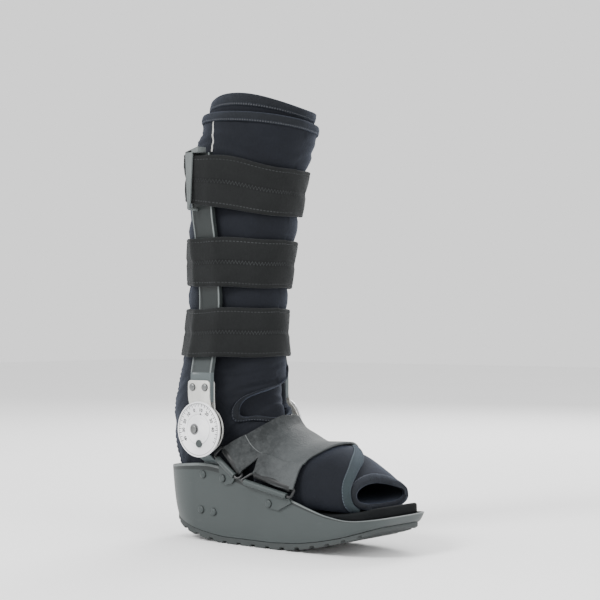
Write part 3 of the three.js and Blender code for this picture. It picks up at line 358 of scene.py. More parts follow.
def smooth(mesh, sharp=None):
    """Smooth shading, but for edges sharper than an angle in degrees."""
    mesh.polygons.foreach_set("use_smooth", np.ones(len(mesh.polygons), bool))
    if sharp:
        mesh.set_sharp_from_angle(angle=math.radians(sharp))


def build(name, parts, finish, nodes, sharp=None, fix=True):
    """One piece from grids in millimetres: its doubles merged, its faces turned outwards."""
    points, faces, maps, start = [], [], [], 0
    for spots, quads, uv in parts:
        points.append(spots)
        faces.append(quads + start)
        maps.append(uv)
        start += len(spots)
    spots = np.concatenate(points) / 1000 - (LENGTH / 2000, 0, 0)
    quads = np.concatenate(faces)
    mesh = bpy.data.meshes.new(name)
    mesh.vertices.add(len(spots))
    mesh.vertices.foreach_set("co", spots.ravel())
    mesh.loops.add(quads.size)
    mesh.loops.foreach_set("vertex_index", quads.ravel())
    mesh.polygons.add(len(quads))
    mesh.polygons.foreach_set("loop_start", np.arange(0, quads.size, 4))
    mesh.update(calc_edges=True)
    layer = mesh.uv_layers.new(name="cloth")
    layer.data.foreach_set("uv", np.concatenate(maps).ravel())
    work = bmesh.new()
    work.from_mesh(mesh)
    bmesh.ops.remove_doubles(work, verts=work.verts, dist=1e-6)
    bmesh.ops.dissolve_degenerate(work, edges=work.edges, dist=1e-7)
    if fix:
        bmesh.ops.recalc_face_normals(work, faces=work.faces)
    work.to_mesh(mesh)
    work.free()
    mesh.validate()
    smooth(mesh, sharp)
    return placed(name, mesh, finish, nodes)


def grey_plastic(name):
    """Moulded plastic with a fine grain, cloudy tone and pale rubbed streaks."""
    finish = Finish(name, (0.04, 0.047, 0.047), 0.45, Specular_IOR_Level=0.24)
    grain = finish.noise(1400, 2)
    cloud = finish.noise(14, 4)
    scuff = finish.ramp(finish.noise(60, 6, 0.7, stretch=(1, 1, 3.5)), 0.62, 0.8)
    finish.shade = finish.blend(cloud, (0.031, 0.038, 0.038), (0.048, 0.057, 0.057))
    finish.lay(scuff * 0.35, (0.085, 0.094, 0.094))
    finish.rise = grain + scuff * 0.6
    finish.rough = 0.34 + cloud * 0.16 + grain * 0.1
    return finish


moulded = grey_plastic("shell_plastic")
# Here the map counts the levels of shell_levels from the middle of the floor: the rolled rim is
# painted with a patchy highlight, and the wall just under it with a painted shadow.
RIM_START, RIM_END, SHADE_END = 31.0, 34.4, 36.4
_, level = moulded.cloth_place()
rubbed = moulded.noise(90, 4)
rim_highlight = (level > RIM_START) * (level < RIM_END) * (rubbed * 0.8 + 0.4)
under_rim_shadow = (level > RIM_END) * (level < SHADE_END)
moulded.lay(rim_highlight.held(), (0.12, 0.132, 0.132))
moulded.lay(under_rim_shadow * 0.75, (0.012, 0.014, 0.014))
moulded.paint(0.00006)


def flat(inset, height, *halves):
    """Levels at one inset whose reach across is cut to a share of the half width."""
    return [(lambda x: inset, height, half) for half in halves]


def shell_levels():
    """Cross-section of the shell from the middle of its inside floor round to its underside."""
    def wall(down, within, bottom):
        return (
            lambda x: wall_inset(down) + within,
            lambda x: rim_z(x) + (bottom(x) - rim_z(x)) * down, 1.0)
    foot = wall_inset(1)
    levels = flat(foot + SHELL_WALL, floor_z, *np.linspace(0, 0.96, 7))
    levels += [wall(down, SHELL_WALL, floor_z) for down in np.linspace(1, 0.03, 20)]
    for turn in np.linspace(0, math.pi, 9)[1:-1]:
        within = SHELL_WALL / 2 * (1 + math.cos(turn))
        drop = RIM_ROLL * (math.sin(turn) - 1)
        levels += flat(within, lambda x, d=drop: rim_z(x) + d, 1.0)
    levels += [wall(down, 0, underside_z) for down in np.linspace(0.03, 1, 34)]
    for within in (0.3, 1.2):
        levels += flat(foot + within, underside_z, 1.0)
    return levels + flat(foot + 2, underside_z, *np.linspace(0.97, 0, 7))


shell_ribs = ribs(220, shell_levels())
half = shell_ribs.shape[1] // 2
level_across = np.concatenate([np.arange(half), np.arange(half)[::-1], [0]]).astype(float)
build(
    "rocker_shell", [surface(shell_ribs, wrap_cols=True, across=level_across)], moulded,
    ["shell"], sharp=50)

# Outsole
# The outsole is a moulded tread in darker rubber under the shell, rounded up at heel and toe,
# with cross grooves at an even pitch that show as notches along its lower edge.
TREADS, GROOVE = 15, 2.4
rubber = Finish("outsole_rubber", (0.0342, 0.0378, 0.0378), 0.7, Specular_IOR_Level=0.2)
speck = rubber.noise(700, 3)
dust = rubber.noise(25, 5)
rubber.paint(
    0.0001, shade=rubber.blend(dust, (0.0288, 0.03312, 0.03312), (0.0486, 0.054, 0.054)),
    rough=0.6 + dust * 0.25, rise=speck)


def ease(value, low, high):
    """0 up to low, 1 from high on, and a smooth step between."""
    t = np.clip((value - low) / (high - low), 0, 1)
    return t * t * (3 - 2 * t)


def tread_z(x):
    """Rocker with grooves: a flat-bottomed cut with sloping sides at each pitch."""
    pitch_share = (x / (LENGTH / TREADS)) % 1
    from_groove = np.minimum(pitch_share, 1 - pitch_share)
    near_end = ease(x, 8, 14) * (1 - ease(x, LENGTH - 16, LENGTH - 10))
    return rocker_z(x) + GROOVE * (1 - ease(from_groove, 0.12, 0.17)) * near_end


SOLE_EDGE = WALL_DRAFT + 0.5
outsole_levels = flat(SOLE_EDGE + 5, outsole_top_z, 0, 0.5, 1)
outsole_levels += flat(SOLE_EDGE + 0.6, outsole_top_z, 1)
for share in np.linspace(0.06, 0.85, 8):
    outsole_levels += flat(
        SOLE_EDGE, lambda x, s=share: outsole_top_z(x) * (1 - s) + tread_z(x) * s, 1)
outsole_levels += flat(SOLE_EDGE + 0.6, tread_z, 1) + flat(SOLE_EDGE + 5, tread_z, 1, 0.5, 0)
build(
    "tread_outsole", [surface(ribs(620, outsole_levels), wrap_cols=True)], rubber,
    ["outsole"], sharp=40)

# Footbed
# The footbed is a slab of black closed-cell foam that fills the bottom of the shell and stands
# up above its rim round the toe, with rounded upper edges.
foam = Finish("footbed_foam", (0.00738, 0.00811, 0.00884), 0.85, Specular_IOR_Level=0.08)
pores = foam.cells(900.0)
patch = foam.noise(40, 4)
foam.shade = foam.blend(
    patch, (0.00442, 0.00497, 0.00554), (0.0111, 0.0122, 0.0132))
foam.paint(0.00025, rough=0.75 + patch * 0.2, rise=pores + patch * 0.8)
FOAM_TOP, FOAM_TOE_RISE, TOE_START = 40, 9, 0.78


def toe_share(x):
    """0 up to where the foam starts to rise, and 1 at the toe."""
    return np.clip((x / LENGTH - TOE_START) / (1 - TOE_START), 0, 1)


def footbed_top_z(x):
    return FOAM_TOP + FOAM_TOE_RISE * toe_share(x) ** 1.4


def foam_levels(height, cut=0.0, halves=(1.0,), at=None):
    """Levels of the foam at a height. Their inset is the room from the rim to the foam there, or
    at another height: the wall and its clearance, and what the edge is cut back."""
    def inset(x):
        down = np.clip((rim_z(x) - (at or height)(x)) / (rim_z(x) - floor_z(x)), 0, 1)
        return wall_inset(down) + SHELL_WALL + 2 * GAP + 4 * toe_share(x) + cut
    return [(inset, height, half) for half in halves]


FOAM_EDGE = 2.2
footbed_levels = foam_levels(footbed_top_z, FOAM_EDGE, np.linspace(0, 0.98, 8))
for turn in np.linspace(0, math.pi / 2, 6):
    fall = FOAM_EDGE * (1 - math.cos(turn))
    footbed_levels += foam_levels(
        lambda x, f=fall: footbed_top_z(x) - f, FOAM_EDGE * (1 - math.sin(turn)))
for share in np.linspace(0.15, 1, 8):
    footbed_levels += foam_levels(
        lambda x, s=share: (footbed_top_z(x) - FOAM_EDGE) * (1 - s) + (floor_z(x) + GAP) * s)
footbed_levels += foam_levels(lambda x: floor_z(x) + GAP, halves=(0.95, 0.5, 0), at=floor_z)
footbed = build(
    "foam_footbed", [surface(ribs(180, footbed_levels), wrap_cols=True)], foam,
    ["footbed"], sharp=60)

# Liner
# The liner is a foam boot laminated with a brushed loop fabric, in two layers: an outer layer
# with an open toe, a notch over the instep and a bound top, and an inner layer that stands
# above it as a collar. Each layer is a tube through sections that turn from the toe to upright.
HINGE_X, HINGE_Z = 84.0, 118.0
COLLAR_BACK, ANKLE, OUTER_WALL, INNER_WALL = 453.0, 106.0, 4.5, 4.0
SECTIONS = np.array([
    (0.905, 0.6, 0.918, 0, 1, 0.78, 1, 0.72), (0.85, 0.72, 0.84, 0, 1, 0.83, 1, 0.68),
    (0.75, 0.84, 0.73, 0, 1, 0.86, 1, 0.66), (0.65, 0.835, 0.61, 0, 1, 0.84, 0.98, 0.66),
    (0.565, 0.915, 0.5, 0, 1, 0.81, 0.95, 0.68), (0.515, 0.985, 0.37, 0, 1, 0.79, 0.9, 0.7),
    (0.485, 1.035, 0.24, 0, 1, 0.785, 0.86, 0.74), (0.468, 1.076, 0.125, 0, 1, 0.79, 0.82, 0.8),
    (0.458, 1.097, 0.055, 0.46, 0, 0.84, 0.8, 0.9),
    (0.452, 1.121, 0.024, 0.74, 0, 0.93, 0.88, 0.95),
    (0.448, 1.148, 0.018, 1.021, 0, 1, 0.95, 1), (0.446, 1.184, 0.038, 1.116, 0, 0.97, 1, 1),
    (0.444, 1.232, 0.064, 1.211, 0, 0.9, 1, 1), (0.444, 1.306, 0.083, 1.3, 0, 0.845, 1, 1),
    (0.452, 1.395, 0.09, 1.395, 0, 0.83, 1, 1), (0.47, 1.511, 0.094, 1.516, 0, 0.88, 1, 1),
    (0.493, 1.643, 0.102, 1.653, 0, 0.975, 1, 1), (0.519, 1.769, 0.117, 1.79, 0, 1.05, 1, 1),
    (0.545, 1.835, 0.144, 1.877, 0, 1.06, 1, 1), (0.573, 1.885, 0.161, 1.915, 0, 1.07, 1, 1),
    (0.583, 1.937, 0.17, 1.957, 0, 1.06, 1, 1), (0.597, 1.972, 0.18, 1.982, 0, 1.05, 1, 1)])
OUTER_TOP, CROWN, TOP_RISE = 20, 9, 6


def hump(value, middle, width, power=2):
    """A smooth bump, 1 high at the middle and 1/e at width from it."""
    return np.exp(-(((value - middle) / width) ** power))


def height_of(level):
    above = HINGE_Z + (level - 1) * (COLLAR_BACK - HINGE_Z)
    return np.where(level <= 1, level * HINGE_Z, above)


def by_row(values):
    return np.stack([np.arange(len(values), dtype=float), values], axis=1)


FRONT_X, FRONT_Z = by_row(SECTIONS[:, 0] * LENGTH), by_row(height_of(SECTIONS[:, 1]))
BACK_X = by_row(SECTIONS[:, 2] * LENGTH)
BACK_Z = by_row(np.where(
    SECTIONS[:, 4] > 0, footbed_top_z(SECTIONS[:, 2] * LENGTH) + GAP, height_of(SECTIONS[:, 3])))
WIDTH, TAPER, BOXY = (by_row(SECTIONS[:, k]) for k in (5, 6, 7))


def liner(position, degrees, outset=0.0, lift=0.0):
    """Point of the liner's outer face. position counts the sections; degrees run from 0 at the
    front through 90 on the right side to 180 at the sole or the back. The section is an ellipse
    between its front and back points, squared towards the sole, and moved out by outset."""
    turn = np.radians(degrees)
    fx, fz, bx, bz = (through(t, position) for t in (FRONT_X, FRONT_Z, BACK_X, BACK_Z))
    long = np.hypot(fx - bx, fz - bz)
    ux, uz = (fx - bx) / long, (fz - bz) / long
    ahead, aside = np.cos(turn), np.sin(turn)
    power = np.where(ahead < 0, through(BOXY, position), 1.0)
    up = np.sign(ahead) * np.abs(ahead) ** power
    out = np.sign(aside) * np.abs(aside) ** power
    half = through(WIDTH, position) * ANKLE / 2 + outset
    narrowing = (1 - through(TAPER, position)) * np.maximum(0, 0.3 - up) / 1.3
    crown = CROWN * np.clip(position - OUTER_TOP, 0, 1) * aside**2
    roll = TOP_RISE * ease(position, 18, OUTER_TOP) * aside
    reach = up * (long / 2 + outset)
    x = (fx + bx) / 2 + ux * reach - uz * lift
    z = (fz + bz) / 2 + uz * reach + ux * lift + crown + roll
    return np.stack(np.broadcast_arrays(x, -out * half * (1 - narrowing), z), axis=-1)


STRAPS = {"strap_top": (0.93, 10.5), "strap_middle": (0.721, 2.0), "strap_lower": (0.54, 0.0)}
UPRIGHT_TOP, UPRIGHT_X, UPRIGHT_HALF = COLLAR_BACK - 52, HINGE_X - 1, 14.0
STRAP_WIDTH, STRAP_LAP = 49.0, 20


def strap_plane(up, tilt, x):
    """Height of a strap's middle: a share of the upright's top at the hinge, tilted from there."""
    return up * UPRIGHT_TOP - math.tan(math.radians(tilt)) * (x - HINGE_X)


def pressed(place):
    """Swell of the cloth between the straps less their press, in mm: 2 mm out at 11 mm beyond
    each strap's edge, 0.8 mm in under it, and nothing beside the uprights or low on the leg."""
    swell = np.zeros(place.shape[:-1])
    for up, tilt in STRAPS.values():
        away = np.abs(place[..., 2] - strap_plane(up, tilt, place[..., 0])) - STRAP_WIDTH / 2
        swell += hump(away, 11, 9.0) * 2.0 - 0.8 * (1 - ease(away, -6, 3))
    upright = hump(place[..., 0], UPRIGHT_X, 19, 4) * (np.abs(place[..., 1]) > 20)
    return swell * (1 - upright) * ease(place[..., 2], 150, 200)


def creases(position, degrees, size=1.0):
    """Soft creases: crossing waves whose height fades in and out along the cloth."""
    a, b = position, np.radians(degrees)
    wave = np.sin(5.1 * a + 2.3 * np.sin(2 * b + 0.4)) * np.cos(1.7 * b + 0.9 * a)
    fine = np.sin(11.0 * a + 3.1 * np.sin(3 * b) + 1.0) * np.sin(2.9 * b + 1.3 * a)
    return size * (0.45 * wave + 0.22 * fine)


def ankle_folds(position, degrees):
    """Folds across the ankle under the notch, on each side, as ridges with a soft fall."""
    fold = np.zeros(np.broadcast(position, degrees).shape)
    for at, lean, wide, high in (
            (7.75, 0.012, 0.14, 2.2), (8.3, 0.01, 0.13, 1.5), (8.9, 0.006, 0.2, 1.3),
            (9.9, 0.004, 0.25, 1.2)):
        line = at + lean * (np.abs(degrees) - 60)
        fold += high * hump(position, line, wide) * hump(np.abs(degrees), 72, 26)
    return fold


NOTCH = np.array([
    (53, 8.2), (49, 8.7), (40, 9.0), (28, 9.05), (14, 9.1), (0, 9.3), (-14, 9.8), (-26, 10.4),
    (-36, 11.0), (-46, 11.2), (-54, 10.8), (-54, 9.9), (-47, 8.8), (-36, 7.6), (-22, 6.6),
    (-6, 6.05), (10, 5.9), (24, 6.15), (36, 6.65), (46, 7.2), (52, 7.7)])
NOTCH_MIDDLE = np.array([2, 7.9])


TOE_CUT, TOE_CUT_AT = 0.34, 55


def toe_cut(degrees):
    """How many sections the toe opening's edge is cut back, most on the upper right."""
    return TOE_CUT * ease(np.cos(np.radians(degrees - TOE_CUT_AT)), -0.2, 1)


def closed_curve(points, count):
    """Smooth closed curve through points, with its tangents along the neighbours' chord."""
    total = len(points)
    at = np.linspace(0, total, count, endpoint=False)
    i, t = at.astype(int), (at % 1)[:, None]
    a, b, c, d = (points[(i + k) % total] for k in (-1, 0, 1, 2))
    return b + 0.5 * t * (c - a + t * (2 * a - 5 * b + 4 * c - d + t * (3 * (b - c) + d - a)))


def inside(outline, x, y):
    """True where (x, y) lies in the outline: an odd number of edges crosses the ray from it."""
    odd = np.zeros(x.shape, bool)
    for (x0, y0), (x1, y1) in zip(outline, np.roll(outline, -1, axis=0)):
        if y0 != y1:
            odd ^= ((y0 > y) != (y1 > y)) & (x < (x1 - x0) * (y - y0) / (y1 - y0) + x0)
    return odd


def cloth(name, base, sheen=0.12, tint=(0.55, 0.65, 0.9), high=1.9):
    """Brushed cloth: fibres in two directions, a cloudy nap and a little pale lint."""
    finish = Finish(name, base, 0.9, Sheen_Weight=sheen, Sheen_Roughness=0.45,
                    Sheen_Tint=(*tint, 1), Specular_IOR_Level=0.16)
    nap = finish.noise(30, 5, 0.62)
    fibre = finish.noise(520, 4, 0.7, stretch=(1, 1, 0.35))
    lint = finish.ramp(finish.noise(260, 2, 0.5), 0.76, 0.83)
    low = tuple(c * 0.5 for c in base)
    top = tuple(c * high for c in base)
    finish.shade = finish.blend((nap * 0.6 + fibre * 0.5).held(), low, top)
    finish.lay(lint * 0.14, (0.16, 0.17, 0.18))
    finish.rise = fibre * 0.8 + nap * 0.5
    return finish


# On the right side a panel's edge runs up the cloth, and near the top its foam shows beside it
# as a pale ragged line. Both are in metres from the middle of the boot.
PANEL_EDGE, FOAM_LINE, FOAM_LOW, FOAM_HIGH = 0.0562, 0.0585, 0.403, 0.437
fabric = cloth("liner_cloth", (0.0045, 0.0052, 0.0072))
here_x, here_y, here_z = fabric.parts()
ragged = fabric.noise(180, 2) * 0.003
foam_line = abs(here_x + FOAM_LINE + ragged - here_z * 0.012) < 0.0011
foam_line = foam_line * (here_y < 0) * (here_z > FOAM_LOW) * (here_z < FOAM_HIGH)
panel_edge = (abs(here_x + PANEL_EDGE) < 0.0007) * (here_y < 0) * (here_z > 0.25)
fabric.lay(panel_edge * 0.7, (0.0015, 0.0017, 0.0022))
fabric.lay(foam_line * 0.85, (0.42, 0.42, 0.40))
fabric.paint(0.0004, rise=fabric.rise - panel_edge * 1.5 - foam_line * 1.2)


def circle(count, whole=2 * math.pi):
    """Even steps round a circle from 0, in radians or with 360 in degrees."""
    return np.linspace(0, whole, count, endpoint=False)


def thicken(piece, wall):
    """Gives a single layer its wall, inwards, in millimetres."""
    solidify = piece.modifiers.new("wall", "SOLIDIFY")
    solidify.thickness, solidify.offset = wall / 1000, -1


def signed_angle(degrees):
    """The same direction from -180 to 180."""
    return (degrees + 180) % 360 - 180


position = np.unique(np.concatenate([
    np.linspace(0, 5.4, 56), np.linspace(5.4, 11.6, 84), np.linspace(11.6, OUTER_TOP, 66)]))
degrees = circle(168, 360)
P, D = np.meshgrid(position, degrees, indexing="ij")
signed = signed_angle(D)
P = P + toe_cut(D) * np.maximum(0, 1 - P / 3)
plain = liner(P, D)
SEAM_PITCH, BACK_SEAM, SIDE_SEAM = 5.2, 180, 146
back_seam = (hump(D, BACK_SEAM, 1.9) + hump(D, SIDE_SEAM, 3.2)) * (P > 8.4)
back_seam = back_seam * (1.1 + 0.5 * np.sin(plain[..., 2] * 2 * math.pi / SEAM_PITCH))
outset = pressed(plain) + (creases(P, D, 1.9) + ankle_folds(P, signed)) * (P > 5) * ease(P, 5, 6.5)
outset = np.clip(outset, -1.2, 2.5) + back_seam
hole = NOTCH_MIDDLE + (closed_curve(NOTCH, 84) - NOTCH_MIDDLE) * 1.035
turns = (np.roll(signed, -1, axis=1) + signed) / 2
turns = np.where(np.abs(np.roll(signed, -1, axis=1) - signed) > 180, 180, turns)
middles = (P[1:] + P[:-1]) / 2
keep = ~inside(hole, turns[1:], middles)
outer_layer = build(
    "liner_outer_layer", [surface(liner(P, D, outset), wrap_cols=True, keep=keep)], fabric,
    ["liner_outer"], fix=False)
thicken(outer_layer, OUTER_WALL)

position = np.linspace(3, 21, 150)
P, D = np.meshgrid(position, circle(132, 360), indexing="ij")
signed = signed_angle(D)
bulge = np.exp(-(((P - 7.9) / 1.6) ** 2) - (((signed - 2) / 46) ** 2))
across_fold = np.sin(5.5 * P + 0.02 * signed) * 0.9 * bulge
collar_swell = 0.8 * hump(P, 20.45, 0.4)
LAYER_GAP = 1.0
skin = liner(
    P, D, -OUTER_WALL - LAYER_GAP + bulge * 1.4 + across_fold * 0.8 + collar_swell)
lining = liner(P, D, -OUTER_WALL - LAYER_GAP - INNER_WALL)
inner_layer = build(
    "liner_inner_layer",
    [surface(np.concatenate([skin, lining[::-1]]), wrap_rows=True, wrap_cols=True)],
    fabric, ["liner_inner"], sharp=60)

# Bindings
# The liner's edges are bound with folded stretch tape, sewn through by one row of stitches: round
# the notch, the toe opening, the outer layer's top and the collar.
def bound_tape(name, base):
    """Ribbed tape with a row of stitches, measured across from the tape's sewn edge."""
    finish = cloth(name, base, sheen=0.15)
    along, across = finish.cloth_place()
    rib = (along * 4.2).sine() * 0.25
    stitch = (abs(across - 1.3) < 0.33) * ((along / 2.6).fraction() < 0.62)
    groove = abs(across - 1.3) < 0.55
    finish.lay(groove * 0.5, tuple(c * 0.3 for c in base))
    finish.lay(stitch * 0.8, tuple(c * 4 + 0.03 for c in base))
    return finish.paint(0.0004, rise=finish.rise + rib - groove * 0.9 + stitch * 0.8)


tape = bound_tape("binding_tape", (0.0062, 0.007, 0.0085))


def tape_band(rings, across):
    """Closed tape: the profile's rings, joined all round. across is its own measure, in mm."""
    points = np.stack(rings, axis=1)
    return surface(points, wrap_rows=True, wrap_cols=True, across=np.array([*across, across[0]]))


def notch_tape():
    """Tape folded over the notch's edge: (scale, outset) round the fold, from its sewn edge."""
    outline = closed_curve(NOTCH, 210)
    profile = [
        (1.105, 0.3), (1.115, 1.2), (1.1, 2.1), (1.065, 2.7), (1.025, 2.7), (0.99, 2.1),
        (0.968, 0.8), (0.965, -1.5), (0.97, -4.0), (1.0, -4.2), (1.015, -2.0), (1.02, 0.1)]
    rings = []
    for scale, out in profile:
        spots = NOTCH_MIDDLE + (outline - NOTCH_MIDDLE) * scale
        extra = creases(spots[:, 1], spots[:, 0], 0.6) + 0.5
        rings.append(liner(spots[:, 1], spots[:, 0], out + extra))
    return tape_band(rings, [0, 0.4, 1.3, 2.6, 4, 5, 6, 8, 10, 11, 13, 15])


build("notch_binding", [notch_tape()], tape, ["binding_notch"])


TAPE_STEPS = 230
FOLD_MARKS = [0, 0.5, 1.3, 3, 5, 7, 8, 9, 10, 11.5, 13, 14, 15, 17]


def edge_tape(row, profile, wave=0.25):
    """Tape round a whole edge of the liner: profile of (rows back, outset, lift)."""
    around = circle(TAPE_STEPS, 360)
    wobble = wave * np.sin(np.radians(around) * 9 + 1.2 * np.sin(np.radians(around) * 4))
    rings = [
        liner(row - back + 0 * around, around, out + wobble, lift) for back, out, lift in profile]
    return tape_band(rings, FOLD_MARKS[:len(profile)])


top_profile = [
    (0.46, 0.5, 0), (0.47, 1.5, 0), (0.4, 2.3, 0), (0.22, 2.7, 0), (0.05, 2.5, 0.2),
    (0, 1.8, 1.2), (0, 0.3, 1.9), (0, -1.6, 1.7), (0, -2.5, 1.0), (0, -2.2, 0.4), (0, 0.2, 0.3),
    (0.25, 0.5, 0)]
build("top_binding", [edge_tape(OUTER_TOP, top_profile)], tape, ["binding_top"])
toe_profile = [
    (-0.22, 0.2, 0), (-0.23, 0.9, 0), (-0.18, 1.3, 0), (-0.08, 1.35, 0), (0.02, 1.1, 0),
    (0.07, 0.0, 0), (0.08, -2.2, 0), (0.06, -4.4, 0), (0.0, -5.3, 0), (-0.15, -5.2, 0),
    (-0.15, -4.6, 0), (0.0, -4.4, 0)]
toe_row = toe_cut(circle(TAPE_STEPS, 360))
build("toe_binding", [edge_tape(toe_row, toe_profile, wave=0.1)], tape, [])
collar_profile = [
    (0.6, -5.2, 0), (0.6, -4.2, 0), (0.5, -3.5, 0), (0.25, -3.3, 0), (0, -3.6, 0.6),
    (0, -5.0, 1.9), (0, -7.5, 2.3), (0, -9.9, 1.9), (0, -11.0, 0.6), (0.3, -11.0, 0),
    (0.6, -10.6, 0), (0.6, -9.9, 0), (0.0, -9.8, 0.35), (0, -5.3, 0.35)]
build("collar_binding", [edge_tape(21, collar_profile, wave=0)], tape,
      ["binding_collar"])

# Toe flap
# A flap of the same cloth wraps the forefoot from the left of the instep down to the right side
# of the sole, under the foot strap, and its front edge carries a grey-green tape.
FLAP_EDGE = np.array([
    (-32, 3.2), (-26, 2.4), (-14, 1.75), (2, 1.25), (22, 0.95), (50, 0.62), (88, 0.42),
    (128, 0.26), (135.5, 0.25)])
FLAP_OUT, FLAP_THICK, FLAP_REAR = 1.8, 2.5, 4.5
turn = np.linspace(-32, 135.5, 120)
share = np.linspace(0, 1, 70)[:, None]
edge = through(FLAP_EDGE, turn)
P = edge + (FLAP_REAR - edge) * share
D = np.broadcast_to(turn, P.shape)
puff = 0.5 * np.sin(np.pi * np.clip(share * 3, 0, 1)) + 0.25 * creases(P * 1.4, D)
flap = build(
    "toe_flap", [surface(liner(P, D, FLAP_OUT + FLAP_THICK + puff))], fabric,
    ["liner_flap"], fix=False)
thicken(flap, FLAP_THICK)
pale_tape = bound_tape("flap_tape", (0.017, 0.023, 0.025))


def closed_ends(points):
    """The grid with its first and last rows each drawn in to a point."""
    first, last = (row.mean(axis=1, keepdims=True) + 0 * row for row in (points[:1], points[-1:]))
    return np.concatenate([first, points, last])


def flap_band():
    """Tape folded over the flap's front edge: (rows from the edge, outset) round the fold."""
    turn = np.linspace(-27, 133, 200)
    edge = through(FLAP_EDGE, turn)
    profile = [
        (0.37, 4.5), (0.38, 5.2), (0.33, 5.8), (0.2, 6.1), (0.06, 5.9), (-0.03, 5.2), (-0.06, 4.0),
        (-0.05, 2.4), (0.0, 1.5), (0.06, 1.4), (0.06, 2.0), (0.0, 4.2)]
    rings = [liner(edge + back, turn, out) for back, out in profile]
    across = np.array([0, 0.5, 1.3, 4, 7, 9, 10, 12, 13, 14, 15, 17, 0.0])
    return surface(closed_ends(np.stack(rings, axis=1)), wrap_cols=True, across=across)


build("flap_binding", [flap_band()], pale_tape, ["binding_flap"])

# Foot strap
# The foot strap is a coated grey sheet over the instep. Each side is cleft into two ends, and
# each end is folded back round the upper bar of a wire loop and sewn.
STRAP_EDGES = np.array([
    (0, 5.65, 1.9), (12, 5.75, 2.0), (34, 5.8, 2.2), (54, 6.0, 2.45), (72, 6.4, 2.5),
    (96, 6.8, 2.5)])
STRAP_ENDS = np.array([(0, 80), (0.2, 86), (0.42, 92), (0.55, 90), (1, 93)])
REAR_LEG, FRONT_LEG, END_MARGIN, STAND_OFF, STRAP_THICK = 0.42, 0.54, 0.03, 3.0, 2.2
STRAP_OUT = FLAP_OUT + FLAP_THICK + 2.3


def strap_place(side, across):
    """Position, degrees and outset on the foot strap: side is -1 to 1 round the foot, and across
    0 at its rear edge to 1 at its front edge."""
    degrees = side * np.interp(across, STRAP_ENDS[:, 0], STRAP_ENDS[:, 1])
    rear = through(STRAP_EDGES[:, [0, 1]], np.abs(degrees))
    front = through(STRAP_EDGES[:, [0, 2]], np.abs(degrees))
    return rear + (front - rear) * across, degrees, STRAP_OUT + STAND_OFF * np.abs(side) ** 5


side = np.linspace(-1, 1, 220)
CLEFT_AT = 0.48
cleft = 0.062 * ease(np.abs(side), 0.77, 1.0) + 0.004 * (np.abs(side) > 0.775)
front_part = np.linspace(0, 1, 44)[:, None]
across = np.concatenate([
    1 - front_part * (1 - CLEFT_AT - cleft), (CLEFT_AT - cleft) * (1 - front_part)])
S = np.broadcast_to(side, across.shape)
place, turn, out = strap_place(S, across)
ripple = 0.5 * np.sin(across * 26 + 3 * S) * hump(np.abs(S), 0.7, 0.2)
dent = -1.6 * hump(across - 0.25 * S, 0.35, 0.05)
dent = dent * ease(S, 0.2, 0.6) * (1 - ease(S, 0.8, 0.95))
doubled = 1.2 * ease(np.abs(S), 0.735 - 0.1 * across, 0.745 - 0.1 * across)
lift = 1.6 * ease(np.abs(S), 0.93, 1.0) + doubled
points = liner(place, turn, out + STRAP_THICK + ripple + dent + lift)
keep = np.ones((len(across) - 1, len(side) - 1), bool)
keep[len(front_part) - 1] = False
coated = Finish("foot_strap_sheet", (0.0486, 0.05472, 0.05616), 0.6, Specular_IOR_Level=0.15)
leather = coated.cells(620.0)
mottle = coated.noise(170, 5, 0.7)
worn = coated.noise(22, 4)
along, over = coated.cloth_place()
blotch = coated.ramp(mottle * 0.7 + worn * 0.5, 0.52, 0.8)
forward = coated.ramp(coated.parts()[0], -0.005, 0.045)
PALE_LINE_AT, REAR_PART = 73.9, 46
# A thin pale line runs along the raised edge of each doubled end of the rear legs.
pale_end_line = (abs(abs(over) - PALE_LINE_AT + along * 0.1) < 0.32) * (along < REAR_PART)
coated.shade = coated.blend(worn, (0.0085, 0.0098, 0.0104), (0.02, 0.0225, 0.0235))
# Towards its front the sheet is lightened with painted light.
coated.lay(forward * (worn * 0.6 + 0.5), (0.07, 0.076, 0.078))
coated.lay(blotch * 0.4, (0.08, 0.086, 0.087))
coated.lay(pale_end_line * 0.7, (0.15, 0.16, 0.16))
coated.paint(0.0004, rough=0.5 + worn * 0.25, rise=leather * 0.7 + mottle * 1.4)
strap_grid = surface(
    points, keep=keep, along=100 * np.append(across[:, len(side) // 2], 0),
    across=100 * np.append(side, 1))
foot_strap = build(
    "foot_strap_sheet", [strap_grid], coated, ["foot_strap"], fix=False)
thicken(foot_strap, STRAP_THICK)

# Wire loops
# Four closed loops of black coated wire join the foot strap's ends to rolled tabs on the shell.
# Each is one length of wire with rounded corners, and its lower bar is held in its tab's roll.
LOOPS = {
    "rear": ((0, REAR_LEG), ((0.333, 1.079), (0.415, 0.868))),
    "front": ((FRONT_LEG, 1), ((0.466, 0.817), (0.656, 0.683)))}
WIRE, ROLL, WIRE_BEND, BAR_OVERHANG = 1.5, 3.2, 3.0, 4.5


def unit(vectors):
    """The same directions at length 1."""
    return vectors / np.linalg.norm(vectors, axis=-1, keepdims=True)


def mirrored(part):
    """The same part on the other side, with its faces turned to match."""
    points, faces, uv = part
    return points * (1, -1, 1), faces[:, ::-1], uv[:, ::-1]


def pair(name, parts, finish, node=None, sharp=None):
    """The piece on the right side and its mirror image on the left."""
    for suffix, sided in (("_right", parts), ("_left", [mirrored(part) for part in parts])):
        build(name + suffix, sided, finish, [node + suffix] if node else [], sharp)


def mottled(name, low, high, roughness, scale, depth, **constants):
    """Finish with one noise that drives its colour, roughness (low, spread) and relief."""
    finish = Finish(name, high, roughness[0], **constants)
    tone = finish.noise(scale, 4)
    return finish.paint(
        depth, shade=finish.blend(tone, low, high), rough=roughness[0] + tone * roughness[1],
        rise=tone)


def wall_outside(x, z):
    share = np.clip((rim_z(x) - z) / (rim_z(x) - underside_z(x)), 0, 1)
    return side_half(x) - wall_inset(share)


